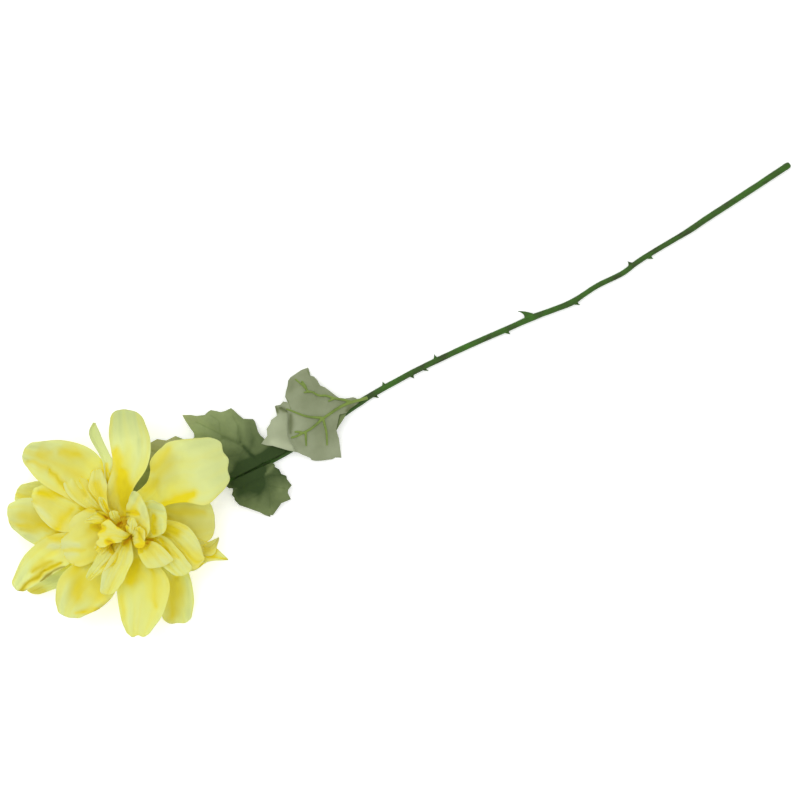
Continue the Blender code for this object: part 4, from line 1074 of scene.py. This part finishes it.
def makeThorn(values, name, line, radii, thorn):
    distance, sign, length, lean, width = thorn
    k = min(range(len(line)), key=lambda k: abs(line[k].x - distance))
    ahead = (line[k + 1] - line[k - 1]).normalized()
    out = Vector((-ahead.y, ahead.x, 0)) * sign
    start = line[k] + out * radii[k] * values["thornRoot"]
    reach = length + radii[k] * (1 - values["thornRoot"])
    spine, widths = [], []
    for j in range(values["thornSteps"] + 1):
        share = j / values["thornSteps"]
        heading = out + ahead * lean * share ** values["thornBend"]
        spine.append((start + heading * reach * share) * mm + heart)
        taper = sum(part * (1 - share) ** power for part, power in values["thornTaper"])
        widths.append(max(width * taper, values["thornTip"]) * mm)
    piece = makeTube(name, spine, widths, values["thornSides"])
    for vertex in piece.data.vertices:
        vertex.co.z = blend(line[k].z * mm, vertex.co.z, values["thornFlat"])
    return piece


def makeStem(values, material):
    points = stemLine(values)
    end = points[-1]
    along = (end - points[-2]).normalized()
    line = evenLine(points, values["steps"])
    radii = [stemRadius(values, p.x) for p in line]
    for reach, share in values["cutEnd"]:
        radii.append(stemRadius(values, end.x) * share)
        tip = end + along * reach
        tip.z = max(end.z, radii[-1])
        line.append(tip)

    def radiusAt(k, angle):
        spot = Vector((line[k].x * values["lumpScale"], math.cos(angle), math.sin(angle)))
        lump = values["lump"] * noise.noise(spot)
        ridge = values["seam"] * hump(math.sin(angle), values["seamWidth"])
        return (radii[k] * values["slim"] + lump + ridge) * mm

    pieces = [makeTube("stemWire", [p * mm + heart for p in line], radiusAt, values["sides"])]
    for i, thorn in enumerate(values["thorns"]):
        pieces.append(makeThorn(values, f"thorn{i}", line, radii, thorn))
    piece = joinAs("coatedStem", pieces)
    for vertex in piece.data.vertices:
        vertex.co.z = max(vertex.co.z, 0.0)
    dress(piece, material)
    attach(piece, "root")
    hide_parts("stem")


makeStem(stem, stemMaterial)
print("stem made")


# Calyx: the green cup and its sepals under the petals

calyx = {
    "bottom": 13.55, "profile": [(3.4, 0.0), (4.6, 0.6), (6.6, 3.0), (9.4, 7.0), (10.4, 10.45)],
    "spans": 5, "steps": 48, "smoothUnder": 50, "sepals": 7, "sepalStart": 12, "grid": (16, 36),
    "thickness": 0.8, "left": [(5, 3.8), (14, 5), (24, 3.4), (30, 1.2)],
    "right": [(5, -3.8), (14, -5), (24, -3.4), (30, -1.2)], "heights": (19.5, 20, 15),
    "looks": {"lift": (0.6, 0.6), "bulge": 2, "wave": 0, "crumple": 0.2},
}


def makeCup(values):
    # a circle drawn up ring by ring along the profile
    knots = smoothLine([Vector((r, 0, z)) for r, z in values["profile"]], values["spans"])
    bpy.ops.mesh.primitive_circle_add(vertices=values["steps"], radius=1, fill_type="NGON")
    cup = active()
    cup.data.transform(Matrix.Scale(knots[0].x * mm, 4))
    cup.data.transform(Matrix.Translation((0, 0, values["bottom"] * mm)))
    bpy.ops.object.mode_set(mode="EDIT")
    bpy.ops.mesh.select_all(action="SELECT")
    for a, b in zip(knots, knots[1:]):
        bpy.ops.mesh.extrude_region_move(TRANSFORM_OT_translate={"value": (0, 0, (b.z - a.z) * mm)})
        bpy.ops.transform.resize(value=(b.x / a.x, b.x / a.x, 1))
    bpy.ops.mesh.select_all(action="SELECT")
    bpy.ops.mesh.normals_make_consistent(inside=False)
    bpy.ops.object.mode_set(mode="OBJECT")
    cup.data.transform(Matrix.Translation(heart))
    bpy.ops.object.shade_smooth_by_angle(angle=math.radians(values["smoothUnder"]))
    return cup


def makeCalyx(values, material):
    pieces = [makeCup(values)]
    shape = petalShape(values["left"], values["right"], values["heights"], **values["looks"])
    shape = {**plainPetal, **shape}
    for i in range(values["sepals"]):
        sepal = makeGrid(f"sepal{i}", *values["grid"])
        angle = 2 * math.pi * i / values["sepals"] + math.radians(values["sepalStart"])
        turn = Matrix.Rotation(angle, 3, "Z")
        for vertex in sepal.data.vertices:
            spot = petalPlace(shape, (vertex.co.y + 1) / 2, vertex.co.x)[0]
            vertex.co = turn @ spot * mm + heart
        thicken(sepal, values["thickness"])
        pieces.append(sepal)
    piece = joinAs("calyxCup", pieces)
    dress(piece, material)
    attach(piece, "root")
    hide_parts("calyx")


makeCalyx(calyx, stemMaterial)
print("calyx made")


# Leaves: a printed fabric blade with cut teeth, and the moulded ribs on its under face

leafCloth = {
    "top": rgb(0.31, 0.385, 0.155), "topDark": rgb(0.034, 0.066, 0.013),
    "topSunlit": rgb(0.46, 0.48, 0.22), "under": rgb(0.355, 0.40, 0.245),
    "underDark": rgb(0.14, 0.17, 0.065), "underSunlit": rgb(0.60, 0.66, 0.44),
    "vein": rgb(0.62, 0.70, 0.50), "veinShare": 0.25, "patchScale": 70.0, "patches": 0.12,
    "roughness": 0.8, "sheen": 0.1, "seeThrough": 0.12,
    "thread": 0.00045, "weaveDepth": 0.00006, "weaveStrength": 0.7,
}


def makeLeafCloth(name, values, side):
    material, tree, shader, place, patches = startCloth(name, values)
    darkness = mathNode(tree, "ADD", readAttribute(tree, "shade"), patches)
    ground = mixColours(tree, darkness, values[side], values[side + "Dark"])
    lightness = mathNode(tree, "MULTIPLY", darkness, -1.0)
    ground = mixColours(tree, lightness, ground, values[side + "Sunlit"])
    ribs = mathNode(tree, "MULTIPLY", readAttribute(tree, "vein"), values["veinShare"])
    colour = mixColours(tree, ribs, ground, values["vein"], "MULTIPLY")
    finishCloth(tree, shader, place, colour, values)
    return material


leafTop = makeLeafCloth("leafTopCloth", leafCloth, "top")
leafUnder = makeLeafCloth("leafUnderCloth", leafCloth, "under")

# Plan points in mm from the heart, along the stem and across it. Marks are brush marks of painted
# shade, and of painted sunlight where darkness is below 0: (x, y, x, y, width, darkness).
leaf1 = {
    "name": "leaf1", "node": "leaf_1", "underUp": True, "shades": (0.24, 0.22, -0.25),
    "heights": (7.4, 18.6, 9.2), "fall": (8.4, 5.2),
    "middle": [(212, 1.2), (183, 1.8), (152, -0.4), (128, 7.4)],
    "left": [
        (212, -0.8), (203.6, -1.9), (199.6, -3.4), (193.8, -1.6), (191.6, -4.5), (189, -7.6),
        (185.8, -11.3), (184.5, -18.4), (181.1, -27), (178.8, -33), (174.6, -30.3), (172.2, -30.6),
        (163.5, -27.3), (159.2, -25.1), (157, -23.3), (156.7, -20.9), (152.4, -15.8), (150.4, -12.8),
        (144.2, -7.5), (141.2, -4.5), (135, 1.6), (131.3, 4), (127.7, 7.4),
    ],
    "right": [
        (212, 3.4), (210, 5.3), (204, 7.3), (200, 10.1), (197.9, 14.4), (195.9, 19.1), (194.2, 22.8),
        (191.4, 26.1), (191.4, 31.1), (190.5, 34.5), (188.2, 36.9), (187.3, 39.7), (188, 42),
        (189.7, 43.4), (184, 44.2), (179.1, 43.7), (173.4, 43.1), (170.8, 41.8), (168.2, 38.2),
        (164.7, 34.6), (162.6, 31.7), (163.2, 28.6), (163.3, 25.8), (159.3, 28.9), (155.9, 27.6),
        (151.7, 28.9), (150.4, 24.2), (149.8, 21.3), (143.7, 20.5), (141.5, 18.1), (137.1, 15.9),
        (135.3, 10.9), (132, 9.6), (127.7, 7.4),
    ],
    "petiole": [(220, -0.6, 6.9), (214.5, 0.6, 9.3)],
    "main": [
        (206.9, 2.5), (200.9, 3.2), (193.6, 3.1), (188.7, 2.5), (183.9, 2), (180.1, 1.7), (175.8, 0.5),
        (169.6, -0.8), (164.1, -1), (159.6, -0.8), (155.1, -0.7), (151.1, 0.3),
    ],
    "sides": [
        [
            (206.5, 3.4), (202.2, 7.3), (197, 11.2), (194.3, 14.1), (191.1, 17.1), (186.9, 19.3),
            (184.8, 22.2), (183.5, 24.4), (181, 26.5), (180.3, 28.5), (179.7, 30.8), (178.9, 33.6),
            (177.3, 37.5), (176.3, 40.2),
        ],
        [
            (180.5, 2.5), (176.4, 5.1), (172.4, 7.7), (168.7, 10.9), (165.3, 14.7), (162.5, 18.1),
            (158.6, 22.5),
        ],
        [(180.8, 1.4), (179.5, -4.3), (177.6, -10.5), (173.5, -18.8)],
        [(163.7, -0.8), (161.8, -4.7), (158.7, -11.2)],
        [(196.4, 11.7), (193.7, 11.7), (191, 11.8)],
        [(182, 25.5), (179.5, 26.6), (177.2, 27.4)],
        [(180.3, 28.9), (180.7, 32.3), (180.1, 36.3)],
        [(161.4, -0.9), (159, 1.3), (155.8, 3.1)],
    ],
    "crease": [(154.9, 25.8), (158, 20.5), (156.7, 15.3), (149.6, 2.8), (149.2, -3.3), (149.2, -12.5)],
    "flap": [
        [(194.4, -1.1), (191.5, -4.4), (188.9, -7.6), (186.8, -10.1), (185.8, -11.4)],
        [(199.6, -3.4), (196.1, -6), (192.7, -7.8), (188.9, -9.8), (185.9, -11.6)],
    ],
    "marks": [
        (183.4, 38.1, 195.2, 16.3, 6, 0.22), (173.8, 40.6, 169.4, 35.7, 4, 0.3),
        (159.5, 16.5, 152.6, 3.9, 1.7, 0.8), (154.7, 25.5, 157.6, 20.7, 1.2, 1.0),
        (151.9, 27.0, 151.4, 23.6, 1.6, 1.0), (135.8, 3.9, 146.9, -5.8, 3.5, -0.5),
        (200.7, -2.1, 206.9, -0.9, 1.8, 0.6), (172.0, -26.6, 181.1, -23.3, 7, -0.25),
        (153.8, -3.1, 156.5, -10.0, 3, 0.25), (149.5, 19.2, 139.1, 6.6, 5, -0.25),
    ],
}
leaf2 = {
    "name": "leaf2", "node": "leaf_2", "underUp": False, "shades": (0.7, 0.38, -0.22),
    "heights": (7, 17, 3), "fall": (6, 12), "middle": [(121, -6.3), (112, 14), (100, 33), (83.1, 57.8)],
    "left": [
        (117, -6.8), (103, -6.2), (96, -5.8), (90, -3), (88, 11), (86, 21), (83.5, 32), (81.4, 36.9),
        (83.4, 38.1), (84.3, 40.8), (83.6, 45.3), (82.9, 52.5), (82.9, 57.8),
    ],
    "right": [
        (125, -7.1), (140, -7.6), (144, -6.6), (132.1, 7.2), (131.4, 10.8), (130.2, 13.7), (130, 17.5),
        (131, 21.9), (131.6, 25.7), (131.1, 28), (124.5, 31.8), (122.2, 37.6), (120.9, 41.9),
        (119.7, 44.2), (114.9, 44.3), (111.2, 45.1), (107.8, 48.1), (105, 50.4), (102.7, 50.4),
        (99.5, 49), (92.6, 51.8), (88.7, 54.8), (82.9, 57.8),
    ],
    "marks": [
        (93.3, -4.1, 122.7, -3.6, 4.5, 0.6), (122.7, -3.6, 145.5, -5.0, 4.2, 0.9),
        (103.2, 4.2, 110.0, 13.3, 5, 0.1), (102.9, 27.1, 113.3, 16.1, 1.6, 0.25),
        (114.2, 12.8, 116.8, 2.3, 1.6, 0.3), (91.8, 50.4, 95.0, 39.5, 5, -0.1),
        (126.1, 26.4, 122.8, 13.6, 4, 0.15), (118.3, 28.8, 114.0, 17.5, 1.5, 0.2),
    ],
    "petiole": [(127, -4, 2.6), (123, -3.5, 3)], "main": [(117.5, 0), (112, 14), (100, 33), (90, 47)],
    "sides": [
        [(116, 6), (123, 13), (126, 22)],
        [(110, 17), (117, 27), (118, 37)],
        [(102, 30), (106, 39), (103, 46)],
        [(114, 9), (104, 9), (96, 13)],
        [(105, 25), (96, 27), (90, 33)],
    ],
}
leaf3 = {
    "name": "leaf3", "node": "leaf_3", "underUp": False, "shades": (0.9, 0.72, 0.6),
    "heights": (6.6, 13, 1.6), "fall": (8, 4),
    "middle": [(121, -9.8), (118, -22), (113, -34), (106, -47.4)],
    "left": [
        (122.6, -9.3), (128, -9.8), (129.1, -12.3), (128.5, -14.2), (130.6, -17.4), (130.3, -21.4),
        (133.1, -24.7), (132.3, -27.4), (133.3, -33.4), (129.2, -35.3), (127.7, -37.2), (127.4, -43),
        (119.1, -42.1), (115.3, -44.1), (108.7, -47.3), (105.4, -45.6), (102.7, -43.9),
    ],
    "right": [
        (119.4, -9), (103, -8.1), (95, -7.6), (86, -7), (87.6, -11.3), (90.7, -13.1), (89.5, -15.2),
        (87.4, -17.2), (88.1, -20.4), (87.4, -22.2), (88.8, -27.5), (94, -33.1), (100.8, -40.7),
        (102.7, -43.9),
    ],
    "marks": [
        (93.8, -9.8, 118.5, -11.3, 4, 0.4), (93.9, -19.8, 110.7, -18.9, 6, 0.35),
        (130.1, -26.7, 122.6, -39.0, 5, -0.12), (119.8, -15.6, 127.7, -12.7, 1.5, -0.35),
        (114.7, -18.3, 104.2, -30.9, 2.5, 0.15), (128.3, -16.6, 123.5, -32.2, 2.5, -0.12),
    ],
    "petiole": [(129, -12.3, 2.6), (125.5, -12.3, 2.8)],
    "main": [(120.8, -14.5), (118, -22), (113, -34), (109, -41)],
    "sides": [
        [(120, -17), (125, -20), (129, -22)],
        [(117, -25), (123, -30), (127, -33)],
        [(119.5, -18), (108, -16), (97, -16)],
        [(116, -27), (105, -27), (94, -27)],
    ],
}
leaf4 = {
    "name": "leaf4", "node": "leaf_4", "underUp": False, "shades": (0.9, 0.2, -1.1),
    "heights": (6.4, 12, 4), "fall": (5, 5),
    "marks": [
        (19.0, 23.4, 36.8, 32.8, 4.5, 0.4), (17.5, 23, 20.5, 25, 1.8, 0.8), (46, 40, 66, 44.5, 6, -1.0),
    ],
    "middle": [(84, -2.6), (74, 15), (58, 33), (40, 52)],
    "left": [
        (82, -2.7), (75, -2.4), (64, -0.8), (54, 3), (46, 9), (38, 14), (27, 16.5), (18, 22), (21, 32),
        (25, 41), (32, 46), (37, 52), (38.9, 52.5),
    ],
    "right": [
        (86, -2.4), (86.5, 5), (85.5, 13), (84.5, 20), (81, 28), (79.2, 37.2), (74, 41), (70.2, 45.7),
        (62, 46), (56, 50.5), (48, 50.5), (44, 55), (40.8, 53.2),
    ],
    "petiole": [(90, -2.1, 2.5), (87, -1.7, 2.8)], "main": [(82.5, 2.5), (74, 15), (58, 33), (46, 46)],
    "sides": [
        [(78, 10), (81, 18), (79, 27)],
        [(68, 22), (71, 31), (68, 40)],
        [(72, 17), (58, 14), (46, 16)],
        [(62, 29), (48, 28), (36, 32)],
    ],
}

leafBuild = {
    "rows": 160, "columns": 72, "thickness": 0.45, "floorGap": 0.1, "spans": 12,
    "fallReach": 30, "fallStart": 0.15, "quilt": 1.0, "quiltReach": 4.5,
    "groove": 0.35, "grooveWidth": 0.8,
    "crumple": 0.9, "crumpleFine": 0.3, "crumpleScale": 0.06, "crumpleFiner": 3, "crumpleSeed": 3.1,
    "creaseUp": 1.8, "creaseUpReach": 8, "creaseDown": 1.3, "creaseDownReach": 4, "creaseWidth": 0.7,
    "blotch": 0.2, "blotchScale": 0.05, "blotchSeed": 0.5, "veinWidth": 0.7,
    "ribSpans": 10, "ribSteps": 24, "ribRadius": 1.3, "ribEnd": 0.9, "sideRadius": 1.1, "sideEnd": 0.7,
    "sink": 0.75, "rise": 0.3, "ribSides": 12, "footSpans": 8, "voxel": 0.3, "soften": 4,
    "flapSize": (12, 24), "flapDrop": 1.0, "flapTuck": 1.3, "flapShade": 0.35, "flapFold": (0.6, 6),
    "flapTip": (0.5, 2),
}


def ribLines(leaf):
    # every rib as plan points close together, in mm
    if "ribPaths" not in leaf:
        leaf["ribPaths"] = []
        for points in [leaf["main"], *leaf["sides"]]:
            fine = smoothLine([Vector(p) for p in points], leafBuild["ribSpans"])
            leaf["ribPaths"].append(evenLine(fine, leafBuild["ribSteps"]))
    return leaf["ribPaths"]


def lineDistance(path, at):
    # plan distance in mm to a line, below 0 on its right
    best = 1e9
    for a, b in zip(path, path[1:]):
        step = b - a
        share = clamp((at - a).dot(step) / step.length_squared)
        off = at - a - step * share
        if off.length < abs(best):
            best = off.length if step.x * off.y - step.y * off.x > 0 else -off.length
    return best


def leafReach(leaf, at):
    # how far along the leaf a plan point lies, 0 at its base and 1 at its tip
    base, tip = Vector(leaf["middle"][0]), Vector(leaf["middle"][-1])
    return clamp((at - base).dot(tip - base) / (tip - base).length_squared)


def leafHeight(leaf, at):
    # the smooth surface, as the solid has it, in mm over the table
    base, tip = Vector(leaf["middle"][0]), Vector(leaf["middle"][-1])
    along = (tip - base).normalized()
    reach = leafReach(leaf, at)
    off = along.x * (at.y - base.y) - along.y * (at.x - base.x)
    fall = leaf["fall"][0 if off > 0 else 1] * ease(reach / leafBuild["fallStart"])
    return bow(leaf["heights"], reach) - fall * (off / leafBuild["fallReach"]) ** 2


def leafShade(leaf, at):
    # how much painted shade lies on the blade, with random blotches: 1 darkest, below 0 painted
    # sunlight
    values = leafBuild
    reach = leafReach(leaf, at)
    first, bend, last = leaf["shades"]
    shade = blend(first, bend, reach * 2) if reach < 0.5 else blend(bend, last, reach * 2 - 1)
    for mark in leaf["marks"]:
        shade += mark[5] * strokeReach(mark, at)
    spot = noiseSpot(at, values["blotchScale"], values["blotchSeed"])
    return shade + values["blotch"] * noise.noise(spot)


def leafSurface(leaf, at):
    # height with the puckers between the ribs, and the distance to the nearest rib
    values = leafBuild
    sign = -1 if leaf["underUp"] else 1
    away = min(abs(lineDistance(path, at)) for path in ribLines(leaf))
    puff = values["quilt"] * (1 - hump(away, values["quiltReach"]))
    groove = values["groove"] * hump(away, values["grooveWidth"])
    spot = noiseSpot(at, values["crumpleScale"], values["crumpleSeed"])
    crumple = values["crumple"] * noise.noise(spot)
    crumple += values["crumpleFine"] * noise.noise(spot * values["crumpleFiner"])
    if "crease" in leaf:
        off = lineDistance([Vector(p) for p in leaf["crease"]], at)
        if off < 0:
            fold = values["creaseUp"] * math.exp(off / values["creaseUpReach"])
        else:
            fold = -values["creaseDown"] * math.exp(-off / values["creaseDownReach"])
        crumple += fold * min(abs(off) / values["creaseWidth"], 1)
    return leafHeight(leaf, at) + sign * (puff - groove) + crumple, away


def cornerLine(points, count):
    # even steps along an edge, with its corners kept
    points = [Vector(p) for p in points]
    line = evenLine(points, count)
    for corner in points[1:-1]:
        line[min(range(1, count), key=lambda i: (line[i] - corner).length)] = corner
    return line


def makeFlap(leaf, low):
    # a lobe that turns under the blade's edge
    values = leafBuild
    columns, rows = values["flapSize"]
    piece = makeGrid(leaf["name"] + "Flap", columns, rows)
    inner, outer = [evenLine([Vector(p) for p in edge], rows) for edge in leaf["flap"]]
    fold, foldFade = values["flapFold"]
    tip, tipFade = values["flapTip"]
    shades, spots = [], []
    for vertex in piece.data.vertices:
        row, across = round(rows * (vertex.co.y + 1) / 2), (vertex.co.x + 1) / 2
        at = inner[row].lerp(outer[row], across)
        height = leafSurface(leaf, at)[0] - values["flapDrop"] * (values["flapTuck"] - across)
        vertex.co = Vector((at.x, at.y, max(height, low))) * mm + heart
        # painted shade, darkest along the fold and at the flap's first end
        dark = fold * math.exp(-across * foldFade) + tip * math.exp(-row / tipFade)
        shades.append(values["flapShade"] + dark)
        spots.append(at * mm)
    writeUv(piece, spots)
    writeAttribute(piece, "shade", shades)
    writeAttribute(piece, "vein", [0.0] * len(shades))
    return piece


def makeBlade(leaf, topSide, underSide):
    values = leafBuild
    rows = values["rows"]
    piece = makeGrid(leaf["name"] + "Blade", values["columns"], rows)
    middle = evenLine(smoothLine([Vector(p) for p in leaf["middle"]], values["spans"]), rows)
    left, right = [cornerLine(leaf[side], rows) for side in ("left", "right")]
    shades, veins, spots = [], [], []
    low = values["thickness"] / 2 + values["floorGap"]
    for vertex in piece.data.vertices:
        across = vertex.co.x
        row = round((vertex.co.y + 1) / 2 * rows)
        at = middle[row].lerp((left if across < 0 else right)[row], abs(across))
        height, away = leafSurface(leaf, at)
        vertex.co = Vector((at.x, at.y, max(height, low))) * mm + heart
        shades.append(leafShade(leaf, at))
        veins.append(hump(away, values["veinWidth"]))
        spots.append(at * mm)
    writeUv(piece, spots)
    writeAttribute(piece, "shade", shades)
    writeAttribute(piece, "vein", veins)
    closeSeams(piece)
    if piece.data.polygons[0].normal.z < 0:
        bpy.ops.object.mode_set(mode="EDIT")
        bpy.ops.mesh.select_all(action="SELECT")
        bpy.ops.mesh.flip_normals()
        bpy.ops.object.mode_set(mode="OBJECT")
    if "flap" in leaf:
        piece = joinAs(piece.name, [piece, makeFlap(leaf, low)])
    dress(piece, *((underSide, topSide) if leaf["underUp"] else (topSide, underSide)))
    thicken(piece, values["thickness"], underSlot=1)
    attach(piece, "root")
    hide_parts(leaf["node"] + "_blade")


def makeRibs(leaf, material):
    values = leafBuild
    sign = 1 if leaf["underUp"] else -1
    tubes = []
    for i, path in enumerate(ribLines(leaf)):
        first, last = ("ribRadius", "ribEnd") if i == 0 else ("sideRadius", "sideEnd")
        line, radii = [], []
        for k, at in enumerate(path):
            radius = blend(values[first], values[last], k / (len(path) - 1))
            height = leafSurface(leaf, at)[0] + sign * values["thickness"] / 2
            height += radius * values["rise"] if leaf["underUp"] else -radius * values["sink"]
            line.append(Vector((at.x, at.y, max(height, radius + values["floorGap"]))))
            radii.append(radius * mm)
        if i == 0:
            foot = [Vector(p) for p in leaf["petiole"]]
            spans = values["footSpans"]
            joint = smoothLine([*foot, line[0], line[3]], spans)[:-spans]
            line = joint + line[1:]
            radii = [values["ribRadius"] * mm] * len(joint) + radii[1:]
        line = [p * mm + heart for p in line]
        tubes.append(makeTube(f"{leaf['name']}Rib{i}", line, radii, values["ribSides"]))
    piece = joinAs(leaf["name"] + "Ribs", tubes)
    shell = piece.modifiers.new("mould", "REMESH")
    shell.mode = "VOXEL"
    shell.voxel_size = values["voxel"] * mm
    soften = piece.modifiers.new("soften", "SMOOTH")
    soften.iterations = values["soften"]
    applyAll(piece)
    bpy.ops.object.shade_smooth()
    dress(piece, material)
    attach(piece, "root")
    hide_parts(leaf["node"] + "_ribs")


for leaf in (leaf1, leaf2, leaf3, leaf4):
    makeBlade(leaf, leafTop, leafUnder)
    makeRibs(leaf, ribMaterial)
    print(leaf["name"], "made")

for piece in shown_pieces():
    piece.data.calc_loop_triangles()
    print("piece", piece.name, len(piece.data.loop_triangles), "triangles")
